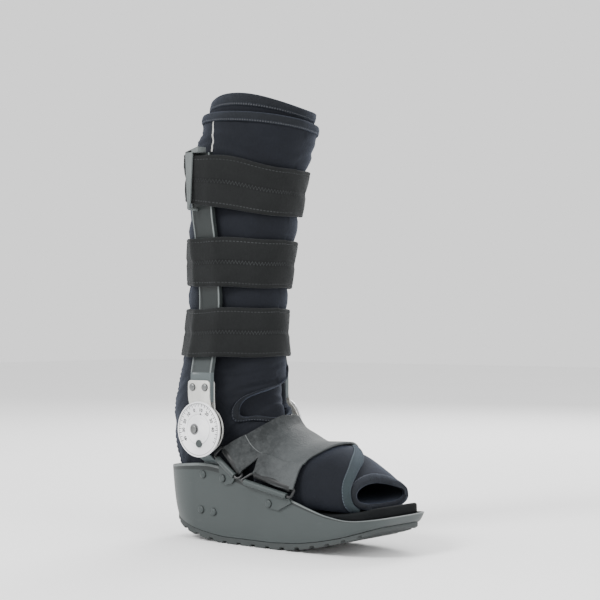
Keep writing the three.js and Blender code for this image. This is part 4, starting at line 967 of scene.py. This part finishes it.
def lower_bar(name):
    x, z = (np.array(LOOPS[name][1]) * (LENGTH, RIM_HEIGHT)).T
    reach = wall_outside(x, z).max() + GAP + ROLL
    return np.stack([x, -reach + 0 * x, z], axis=1)


def upper_bar(name):
    low, high = LOOPS[name][0]
    place, turn, out = strap_place(1.0, np.array([low + END_MARGIN, high - END_MARGIN]))
    return liner(place, turn, out + STRAP_THICK / 2)


def tube(path, radius, count=14):
    """Closed round bar along a path, as circles square to it."""
    ahead = unit(np.roll(path, -1, axis=0) - np.roll(path, 1, axis=0))
    flat_normal = unit(np.cross(path[len(path) // 3] - path[0], path[-2] - path[0]))
    outward = unit(np.cross(ahead, flat_normal))
    up = np.cross(outward, ahead)
    turn = circle(count)[None, :, None]
    ring = outward[:, None] * np.cos(turn) + up[:, None] * np.sin(turn)
    return surface(path[:, None] + ring * radius, wrap_rows=True, wrap_cols=True)


def bend(corner, before, after, steps, reach, share=0.45):
    """Quadratic bend round a corner, between points at reach along the ways to its neighbours,
    or at a share of a way where that is shorter."""
    t = np.linspace(0, 1, steps)[:, None]
    start, stop = (
        corner + unit(way) * min(reach, np.linalg.norm(way) * share)
        for way in (before - corner, after - corner))
    return start * (1 - t) ** 2 + corner * 2 * t * (1 - t) + stop * t * t


def loop_path(name):
    """Rounded four-sided path: each corner is a bend, and even steps lead on to the next one."""
    bars = lower_bar(name), upper_bar(name)
    for bar in bars:
        along = unit(bar[1] - bar[0]) * BAR_OVERHANG
        bar[0] -= along
        bar[1] += along
    corners = [bars[0][0], bars[0][1], bars[1][1], bars[1][0]]
    bends = [
        bend(corners[k], corners[k - 1], corners[(k + 1) % 4], 7, WIRE_BEND, 1) for k in range(4)]
    step = np.linspace(0, 1, 8)[1:-1, None]
    path = []
    for corner, following in zip(bends, bends[1:] + bends[:1]):
        path += [corner, corner[-1] + (following[0] - corner[-1]) * step]
    return np.concatenate(path)


coating = mottled(
    "black_wire", (0.004, 0.0045, 0.005), (0.014, 0.015, 0.016), (0.24, 0.2), 240, 0.00005,
    Specular_IOR_Level=0.4)


def turned(profile, start, axis, side, count, closed=False):
    """Profile of (radius, distance along) turned about an axis, from a side square to it."""
    turn = circle(count)[None, :, None]
    r, along = np.array(profile, float).T[:, :, None, None]
    other = np.cross(axis, side)
    points = start + axis * along + (side * np.cos(turn) + other * np.sin(turn)) * r
    return surface(points, wrap_rows=closed, wrap_cols=True)


def sleeve(ends, radius, bore):
    """Sleeve from end to end with broken outer edges."""
    long, soft = np.linalg.norm(ends[1] - ends[0]), 0.5
    profile = [
        (bore, 0), (radius - soft, 0), (radius, soft), (radius, long - soft),
        (radius - soft, long), (bore, long)]
    axis = unit(ends[1] - ends[0])
    return turned(profile, ends[0], axis, unit(np.cross(axis, (0, 0, 1.0))), 32, closed=True)


for name in LOOPS:
    pair("wire_" + name, [tube(loop_path(name), WIRE)], coating, "wire_loop_" + name)

rolls = [sleeve(upper_bar(name), WIRE + GAP + STRAP_THICK, WIRE + GAP) for name in LOOPS]
# The folds are the foot strap's own sheet, coloured near black as painted shade under the strap's
# ends.
fold_shade = mottled(
    "strap_fold_shade", (0.004, 0.0045, 0.005), (0.016, 0.0175, 0.018), (0.35, 0.25), 320, 0.00008,
    Specular_IOR_Level=0.3)
rolled = build("foot_strap_folds", rolls + [mirrored(r) for r in rolls], fold_shade,
               [], sharp=50)

# Leg straps
# Three wide straps of napped black webbing, each of two bands joined by a zigzag seam along the
# middle and stitched along both edges, go round the liner and over both uprights.
def upright_outer(z):
    """Outer face of the uprights from the centre plane, which follows the leg's side."""
    rows = np.array([
        (0.098, 1.2), (0.194, 1.2), (0.204, 1.195), (0.25, 1.145), (0.335, 1.03), (0.463, 0.95),
        (0.576, 0.995), (0.703, 1.09), (0.774, 1.16), (0.873, 1.21), (1.0, 1.245)])
    return through(rows, (z - HINGE_Z) / (UPRIGHT_TOP - HINGE_Z)) * ANKLE / 2


def strap_outline(up, tilt, level, count):
    """Taut outline round the liner and uprights where a tilted plane cuts them: the points
    farthest out in each direction, walked at an even spacing from the front."""
    degrees = circle(240, 360)
    low, high = 9.0 + 0 * degrees, 21.0 + 0 * degrees
    for _ in range(22):
        middle = (low + high) / 2
        spot = liner(middle, degrees)
        below = spot[:, 2] < strap_plane(up, tilt, spot[:, 0]) + level
        low, high = np.where(below, middle, low), np.where(below, high, middle)
    spot = liner(low, degrees)[:, :2]
    x = UPRIGHT_X + UPRIGHT_HALF * np.array([1, -1, -1, 1])
    y = upright_outer(strap_plane(up, tilt, x) + level) * np.array([1, 1, -1, -1])
    spot = np.concatenate([spot, np.stack([x, y], axis=1)])
    facing = circle(1440)
    normal = np.stack([np.cos(facing), np.sin(facing)], axis=1)
    hull = spot[np.argmax(spot @ normal.T, axis=0)] + normal * 1.0
    run = running(np.linalg.norm(np.diff(hull, axis=0, append=hull[:1]), axis=1))
    hull = np.concatenate([hull, hull[:1]])
    even = np.linspace(0, run[-1], count, endpoint=False)
    place = np.stack([np.interp(even, run, hull[:, k]) for k in (0, 1)], axis=1)
    for _ in range(3):
        place = (place * 2 + np.roll(place, 1, axis=0) + np.roll(place, -1, axis=0)) / 4
    step = np.roll(place, -1, axis=0) - np.roll(place, 1, axis=0)
    out = np.stack([step[:, 1], -step[:, 0]], axis=1)
    return place, unit(out), run[-1]


webbing = cloth(
    "leg_strap_webbing", (0.00625, 0.00675, 0.0069), sheen=0.06, tint=(0.8, 0.85, 0.9))
along, across = webbing.cloth_place()
ZIG_PITCH, ZIG_WIDTH, EDGE_ROW, EDGE_PITCH = 3.4, 3.6, 20.6, 3.6
zig = (abs((along / ZIG_PITCH).fraction() * 2 - 1) - 0.5) * ZIG_WIDTH
seam = (abs(across - zig) < 0.42) * (abs(across) < 2.3)
edge_row = (abs(abs(across) - EDGE_ROW) < 0.4) * ((along / EDGE_PITCH).fraction() < 0.6)
loops = webbing.noise(700, 3, 0.6)
shown = webbing.ramp(webbing.noise(16, 3), 0.38, 0.6)
webbing.lay((abs(across) < 2.7) * 0.4, (0.003, 0.0033, 0.0035))
webbing.lay((seam + edge_row).held() * (shown * 0.55 + 0.1), (0.05, 0.053, 0.055))
webbing.paint(rise=webbing.rise + loops * 0.7 + (seam + edge_row) * 0.8)

LEVELS = np.linspace(-0.5, 0.5, 7) * STRAP_WIDTH
PROFILE = [(-24.5, 0.9), (-24.7, 2.4), (-24.3, 3.9), (-23.4, 4.55), (-21.4, 4.6), (-20.6, 4.3),
           (-19.6, 4.7), (-12, 4.9), (-4.0, 4.7), (-2.5, 4.25), (0, 3.95), (2.5, 4.25), (4.0, 4.7),
           (12, 4.9), (19.6, 4.7), (20.6, 4.3), (21.4, 4.6), (23.4, 4.55), (24.3, 3.9),
           (24.7, 2.4), (24.5, 0.9), (23, 0.15), (12, 0), (0, 0), (-12, 0), (-23, 0.15)]


def strap_band(up, tilt, bow, count=330):
    """The strap's profile of (level, outset) carried round its outline at each level. bow lifts
    its upper edge over the right side and its waviness runs along the edges."""
    outlines = [strap_outline(up, tilt, level, count) for level in LEVELS]
    places, outs = (np.stack([outline[k] for outline in outlines]) for k in (0, 1))
    around = circle(count)
    rings = []
    for level, out in PROFILE:
        t = (level - LEVELS[0]) / (LEVELS[1] - LEVELS[0])
        i = int(np.clip(math.floor(t), 0, len(LEVELS) - 2))
        f = t - i
        place = places[i] * (1 - f) + places[i + 1] * f
        normal = outs[i] * (1 - f) + outs[i + 1] * f
        soft = 0.35 * np.sin(around * 7 + level * 0.15) + 0.2 * np.sin(around * 17 + level * 0.3)
        at = place + normal * (out + soft * (out > 1))[:, None]
        right = hump(at[:, 0], 118, 30) * (at[:, 1] < 0)
        wander = 0.5 * np.sin(around * 5 + 1.0) + bow * right * (level / STRAP_WIDTH + 0.5)
        z = strap_plane(up, tilt, at[:, 0]) + level + wander
        rings.append(np.concatenate([at, z[:, None]], axis=1))
    across = np.array([level for level, _ in PROFILE] + [PROFILE[0][0]])
    across[-6:-1] += 200
    band = surface(np.stack(rings, axis=1), wrap_rows=True, wrap_cols=True, across=across)
    return band, outlines[len(LEVELS) // 2][2]


for name, (up, tilt) in STRAPS.items():
    band, round_length = strap_band(up, tilt, 5.0 if name == "strap_top" else 1.5)
    strap = build(name + "_webbing", [band], webbing, [name], sharp=70)
    (round_length + STRAP_LAP) / 1000

# Uprights
# Each side has a moulded grey upright with raised rails along its edges, which follows the leg
# and ends in a keeper behind the top strap. It is riveted between the two hinge plates.
strut = Finish("upright_plastic", (0.02, 0.024, 0.024), 0.4, Specular_IOR_Level=0.28)
here_x, _, here_z = strut.parts()
off_middle = abs(here_x + (LENGTH / 2 - UPRIGHT_X) / 1000)
RAIL_FOOT, RAIL_IN, RAIL_OUT = 0.176, 0.0122, 0.01385
rail = (off_middle > RAIL_IN) * (off_middle < RAIL_OUT) * (here_z > RAIL_FOOT)
cloud = strut.noise(30, 4)
grain = strut.noise(1300, 2)
strut.shade = strut.blend(cloud, (0.009, 0.0115, 0.0115), (0.017, 0.021, 0.021))
# Low on the bar the recess is lightened towards the bottom as a painted highlight.
strut.lay(strut.ramp(here_z, 0.25, 0.18) * 0.8, (0.036, 0.043, 0.044))
strut.lay(here_z < RAIL_FOOT, (0.068, 0.082, 0.085))
strut.lay(rail * 0.8, (0.13, 0.145, 0.145))
strut.paint(0.00006, rough=0.32 + cloud * 0.16, rise=grain + cloud)
pale_plastic = mottled(
    "keeper_plastic", (0.075, 0.084, 0.084), (0.115, 0.127, 0.127), (0.34, 0.14), 60, 0.00005,
    Specular_IOR_Level=0.3)


def slab(outline, inner, outer, soft=0.4):
    """Plate with an outline in x and z between two distances out from the centre plane on the
    right side: its edges are cut back by soft, and its faces close on its middle."""
    outline = np.array(outline, float)
    step = np.roll(outline, -1, axis=0) - np.roll(outline, 1, axis=0)
    normal = unit(np.stack([step[:, 1], -step[:, 0]], axis=1))
    following = np.roll(outline, -1, axis=0)
    normal *= np.sign(np.sum(outline[:, 0] * following[:, 1] - following[:, 0] * outline[:, 1]))
    middle = outline.mean(axis=0)
    edge = [(soft, 0), (0.3 * soft, 0.3 * soft), (0, soft)]
    profile = [(None, inner)] + [(cut, inner + rise) for cut, rise in edge]
    profile += [(cut, outer - rise) for cut, rise in edge[::-1]] + [(None, outer)]
    rings = []
    for cut, y in profile:
        ring = middle + 0 * outline if cut is None else outline - normal * cut
        rings.append(np.stack([ring[:, 0], -y + 0 * ring[:, 0], ring[:, 1]], axis=1))
    return surface(np.stack(rings), wrap_cols=True)


def rounded(points, corner, steps=6):
    """Outline with each corner replaced by a bend that starts corner away from it."""
    points = np.array(points, float)
    bends = [
        bend(point, points[k - 1], points[(k + 1) % len(points)], steps, corner)
        for k, point in enumerate(points)]
    return np.concatenate(bends)


UPRIGHT_FOOT, RAIL_RISE = 146, 1.2
STRAP_DEEP, KEEPER_GAP, KEEPER_WALL = 4.5, 1.6, 2.5


def upright_bar():
    """Bar through outlines at each height: a flat inside, and rails that stand above its face."""
    z = np.concatenate([
        np.linspace(UPRIGHT_FOOT, 173, 8), np.linspace(174, 180, 6),
        np.linspace(184, UPRIGHT_TOP, 70)])
    outer = upright_outer(z)
    recess = RAIL_RISE * ease(z, 173, 177)
    half = [(14, -5, 0), (14, -0.5, 0), (13.5, 0, 0), (12.1, 0, 0), (11.6, 0, 0.17), (11.0, 0, 1)]
    profile = [(-14, -5, 0), (0, -5, 0)] + half + [(0, 0, 1)]
    profile += [(-x, depth, sunk) for x, depth, sunk in half[:0:-1]]
    rings = [
        np.stack([UPRIGHT_X + x + 0 * z, -(outer + depth - sunk * recess), z], axis=1)
        for x, depth, sunk in profile]
    return surface(closed_ends(np.stack(rings, axis=1)), wrap_cols=True)


rear, low, top = UPRIGHT_X - UPRIGHT_HALF, UPRIGHT_TOP - 57, UPRIGHT_TOP + 3.5
keeper_out = float(upright_outer(np.array(UPRIGHT_TOP))) + STRAP_DEEP + KEEPER_GAP + KEEPER_WALL
keeper = [
    slab(rounded([(rear + x, z) for x, z in outline], corner), inner, keeper_out, soft)
    for outline, corner, inner, soft in (
        ([(5, low), (7, low - 2), (9, low + 8), (12, UPRIGHT_TOP), (12, top), (2, top - 2)],
         2.0, keeper_out - KEEPER_WALL, 0.7),
        ([(2, UPRIGHT_TOP), (20, UPRIGHT_TOP), (20, top + 3), (2, top - 2)],
         1.6, keeper_out - 13, 0.7),
        ([(5, low), (7, low - 2), (9, low), (5, low + 2)],
         1.0, float(upright_outer(np.array(low))) - 4, 0.5))]
pair("upright_bar", [upright_bar()], strut, "upright", 35)
pair("strap_keeper", keeper, pale_plastic, sharp=35)

# Hinges
# Each hinge is two steel plates that clasp the upright, a foot plate inside the shell, and a
# painted range-of-motion dial with a degree scale, held by a pivot beside its middle.
steel = Finish("hinge_steel", (0.6, 0.6, 0.57), 0.36, 0.75)
brushed = steel.noise(300, 4, 0.6, stretch=(1, 1, 0.06))
smear = steel.noise(45, 4)
steel.paint(
    0.00006, rough=0.28 + smear * 0.2 + brushed * 0.06, rise=brushed,
    shade=steel.blend(brushed * 0.6 + smear * 0.4, (0.5, 0.5, 0.47), (0.72, 0.72, 0.69)))


PLATE_RIM, OUTER_RING, INNER_RING, PIVOT_SHADOW_RING = 0.0236, 0.0265, 0.0155, 0.0052
PIVOT_BACK, STOP_AHEAD, STOP_DOWN = 5, 1.5, 14.5


def from_hinge(finish):
    """Distances from the hinge's axis: forward, up and outright, in metres."""
    x, _, z = finish.parts()
    over_x, over_z = x + (LENGTH / 2 - HINGE_X) / 1000, z - HINGE_Z / 1000
    return over_x, over_z, (over_x * over_x + over_z * over_z) ** 0.5


dark_steel = Finish("inner_plate_steel", (0.02, 0.021, 0.021), 0.3, 0.4)
_, _, radius = from_hinge(dark_steel)
tarnish = dark_steel.noise(120, 4)
dark_steel.shade = dark_steel.blend(tarnish, (0.012, 0.013, 0.013), (0.04, 0.042, 0.042))
# A painted highlight runs round the plate's rim.
dark_steel.lay((radius > PLATE_RIM) * 0.9, (0.5, 0.5, 0.48))
dark_steel.paint(0.00005, rough=0.25 + tarnish * 0.2, rise=tarnish)
enamel = Finish("dial_paint", (0.8, 0.8, 0.82), 0.35, 0.2, Coat_Weight=0.2)
fleck = enamel.noise(480, 3)
tone = enamel.noise(55, 3)
over_x, over_z, radius = from_hinge(enamel)
from_pivot = ((over_x + PIVOT_BACK / 1000) ** 2.0 + over_z * over_z) ** 0.5
turned_lines = (radius * 9000).sine() * 0.5 + 0.5
sweep = enamel.node("ShaderNodeMath", {"operation": "ARCTAN2"}, {0: over_z, 1: over_x})
glint = (sweep * 2 + 0.7).sine() * 0.5 + 0.5
enamel.shade = enamel.blend(
    tone * 0.5 + glint * 0.5, (0.62, 0.63, 0.65), (0.95, 0.95, 0.96))
# Thin dark rings mark the rim's step and the eye, and a painted shadow rings the pivot.
ring = (abs(radius - OUTER_RING) < 0.00035) + (abs(radius - INNER_RING) < 0.0003) * 0.5
ring = ring + (abs(from_pivot - PIVOT_SHADOW_RING) < 0.0006)
smudge = enamel.ramp(enamel.noise(210, 4, 0.7), 0.56, 0.7)
smudge = smudge * (radius > 0.0165) * (over_z > -0.008)
enamel.lay(smudge * 0.28, (0.16, 0.16, 0.17))
enamel.lay(ring.held() * 0.8, (0.05, 0.05, 0.055))
enamel.paint(
    0.00004, rough=0.26 + tone * 0.15 + fleck * 0.05, rise=fleck + turned_lines * 0.4)
marking = Finish("dial_marks", (0.006, 0.006, 0.007), 0.6, Specular_IOR_Level=0.2)
ink = marking.noise(300, 3)
marking.paint(
    shade=marking.blend(ink, (0.004, 0.004, 0.005), (0.02, 0.02, 0.022)),
    rough=0.5 + ink * 0.2)


def on_side(profile, x, z, count=96):
    """Profile of (radius, distance out) turned about an axis out from the right side."""
    return turned(profile, np.array([x, 0, z]), np.array([0, -1, 0]), np.array([1, 0, 0]), count)


def hinge_plate(inner, radius):
    """Arm with rounded upper corners that runs into a disc, as one outline 2 mm thick."""
    left, right, top = HINGE_X - 16.5, HINGE_X + 12.5, HINGE_Z + 50
    start, stop = math.radians(90 - 33), math.radians(90 + 31 - 360)
    arc = np.linspace(start, stop, 90)
    disc = np.stack([HINGE_X + radius * np.cos(arc), HINGE_Z + radius * np.sin(arc)], axis=1)
    shoulder = HINGE_Z + 32
    arm = [disc[-1], (left, shoulder), (left, top), (right, top), (right, shoulder), disc[0]]
    return slab(np.concatenate([disc, rounded(arm, 4.0)[6:-6]]), inner, inner + 2, 0.35)


rivet_steel = Finish("rivet_steel", (0.12, 0.125, 0.125), 0.3, 0.5)
turn_marks = rivet_steel.noise(400, 3)
# A painted shadow darkens the foot of each steel dome and the pivot's side, where they meet what
# they hold.
DOME_FOOT_SHADOW, CAP_FOOT_SHADOW = 6.1, 6.0
along, _ = rivet_steel.cloth_place()
rivet_steel.shade = rivet_steel.blend(turn_marks, (0.07, 0.073, 0.073), (0.2, 0.205, 0.205))
rivet_steel.lay((along < DOME_FOOT_SHADOW) * 0.9, (0.006, 0.006, 0.007))
rivet_steel.paint(0.00005, rough=0.24 + turn_marks * 0.2, rise=turn_marks)
rivet_plastic = grey_plastic("rivet_plastic")
along, _ = rivet_plastic.cloth_place()
# The plastic caps get the same painted shadow round their foot.
rivet_plastic.lay((along < CAP_FOOT_SHADOW) * 0.9, (0.006, 0.007, 0.007))
rivet_plastic.paint(0.00006)
tab_plastic = grey_plastic("tab_plastic").paint(0.00006)
DIAL_PROFILE = [
    (0, 66), (28.1, 66), (28.5, 66.4), (28.5, 67.7), (28.1, 68.15), (27.0, 68.25), (26.4, 68.0),
    (16.2, 68.0), (15.7, 67.85), (15.2, 68.0), (15.0, 68.4), (14.6, 68.5), (12.0, 68.5),
    (11.8, 68.35), (11.4, 68.35), (11.2, 68.5), (0, 68.5)]
PIVOT = [
    (0, 68.4), (4.5, 68.6), (4.6, 69.4), (4.2, 70.2), (3.2, 70.65), (2.1, 70.7), (1.9, 70.2),
    (0, 70.2)]
STOP = [(0, 68.2), (4, 68.3), (4, 69.0), (3.7, 69.3), (2.6, 69.3), (2.4, 69.15), (0, 69.15)]


DIAL_FACE, TICK_END, NUMBER_RADIUS = 68.0, 26.4, 19.9


def ticks():
    """Degree marks as thin raised bars every 5 degrees of the upper arc, with longer ones every
    10 degrees, and a pointer."""
    parts = []
    for k in range(49):
        turn = math.radians(-30 + k * 5)
        long, side = ((3.2, 0.36), (1.8, 0.22))[k % 2]
        direction = np.array([math.cos(turn), math.sin(turn)])
        square = np.array([-direction[1], direction[0]]) * side
        corners = [
            direction * away + square * way
            for away, way in (
                (TICK_END - long, -1), (TICK_END, -1), (TICK_END, 1), (TICK_END - long, 1))]
        outline = np.array(corners) + (HINGE_X, HINGE_Z)
        parts.append(slab(outline, DIAL_FACE - 0.1, DIAL_FACE + 0.12, 0.04))
    pointer = np.array([(-1.7, 13.6), (1.7, 13.6), (0, 17.4)]) + (HINGE_X + 3, HINGE_Z)
    return parts + [slab(pointer, DIAL_FACE - 0.1, DIAL_FACE + 0.15, 0.05)]


def dial_numbers(name, mirror):
    """Plain scale numbers, in tens, round the upper arc: flat text made a mesh, laid on the dial.
    On the left side they are turned to read from there."""
    spots, faces, start = [], [], 0
    for k in range(9):
        turn = math.radians(210 - k * 26)
        data = bpy.data.curves.new("number", "FONT")
        data.body, data.size, data.extrude = str(abs(40 - k * 10)), 4.9, 0.06
        data.offset, data.resolution_u = 0.16, 3
        data.align_x = data.align_y = "CENTER"
        item = add("number", data)
        text = bpy.data.meshes.new_from_object(item)
        flat_text = np.zeros(len(text.vertices) * 3)
        text.vertices.foreach_get("co", flat_text)
        right, up, out = flat_text.reshape(-1, 3).T
        cos, sin = math.cos(turn - math.pi / 2), math.sin(turn - math.pi / 2)
        x = NUMBER_RADIUS * math.cos(turn) + right * cos - up * sin
        z = HINGE_Z + NUMBER_RADIUS * math.sin(turn) + right * sin + up * cos
        y = -DIAL_FACE - 0.02 - out
        spots.append(np.stack(
            [HINGE_X - x, -y, z] if mirror else [HINGE_X + x, y, z], axis=1))
        faces += [tuple(v + start for v in p.vertices) for p in text.polygons]
        start += len(x)
        bpy.data.objects.remove(item)
        bpy.data.meshes.remove(text)
    mesh = bpy.data.meshes.new(name)
    mesh.from_pydata((np.concatenate(spots) / 1000 - (LENGTH / 2000, 0, 0)).tolist(), [], faces)
    placed(name, mesh, marking, [])


for name, out, radius, finish in (
        ("outer", 63.6, 27.0, steel), ("inner", 56.2, 24.5, dark_steel)):
    pair(f"hinge_{name}_plate", [hinge_plate(out, radius)], finish,
         "hinge_plate_" + name, 40)
pair("dial", [on_side(DIAL_PROFILE, HINGE_X, HINGE_Z)], enamel, "hinge_dial", 30)
pair("dial_marks", ticks(), marking)
dial_numbers("dial_numbers_right", False)
dial_numbers("dial_numbers_left", True)
pair("pivot", [on_side(PIVOT, HINGE_X - PIVOT_BACK, HINGE_Z, 48)], rivet_steel,
     "hinge_pivot", 40)
pair("stop", [on_side(STOP, HINGE_X + STOP_AHEAD, HINGE_Z - STOP_DOWN, 40)], tab_plastic,
     "hinge_stop", 40)

# Rivets
# Domed rivets hold the foot plates and the strap tabs to the shell, and the hinge plates to the
# uprights.
DOME = [
    (0, -1.2), (4.0, -1.2), (4.05, 0.0), (3.95, 0.5), (3.5, 1.05), (2.6, 1.5), (1.4, 1.75),
    (0, 1.8)]
for node in sorted(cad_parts):
    if not node.startswith("rivet_"):
        continue
    low_corner, high_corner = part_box(node)
    x = (low_corner.x + high_corner.x) * 500 + LENGTH / 2
    z = (low_corner.z + high_corner.z) * 500
    face = max(abs(low_corner.y), abs(high_corner.y)) * 1000 - DOME[-1][1]
    part = on_side([(r, face + out) for r, out in DOME], x, z, 32)
    finish, slot = (rivet_steel, "plate") if "hinge" in node else (rivet_plastic, "shell")
    build(node + "_head", [mirrored(part) if node.endswith("left") else part], finish,
          [node], sharp=50)

# Strap tabs and foot plates
# The tabs are plates of the shell's plastic whose upper edge is rolled round a wire loop, and
# the foot plates are steel, painted grey. Their cut edges are broken.
BROKEN, EDGE_ANGLE = 0.00045, 35


def broken_edges(node, name, finish):
    """A copy of a plain plate with its doubles merged and its edges rounded."""
    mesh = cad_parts[node].data.copy()
    work = bmesh.new()
    work.from_mesh(mesh)
    bmesh.ops.remove_doubles(work, verts=work.verts, dist=2e-6)
    bmesh.ops.dissolve_limit(work, angle_limit=math.radians(1), verts=work.verts, edges=work.edges)
    work.to_mesh(mesh)
    work.free()
    mesh.materials.clear()
    piece = placed(name, mesh, finish, [node])
    bevel = piece.modifiers.new("edges", "BEVEL")
    bevel.width, bevel.segments, bevel.limit_method = BROKEN, 3, "ANGLE"
    bevel.angle_limit = math.radians(EDGE_ANGLE)
    bevel.use_clamp_overlap = True
    smooth(mesh, EDGE_ANGLE)


for suffix in ("_right", "_left"):
    for name in LOOPS:
        part = name + suffix
        broken_edges("strap_anchor_" + part, "strap_tab_" + part, tab_plastic)
    broken_edges("hinge_foot_plate" + suffix, "foot_plate" + suffix, strut)
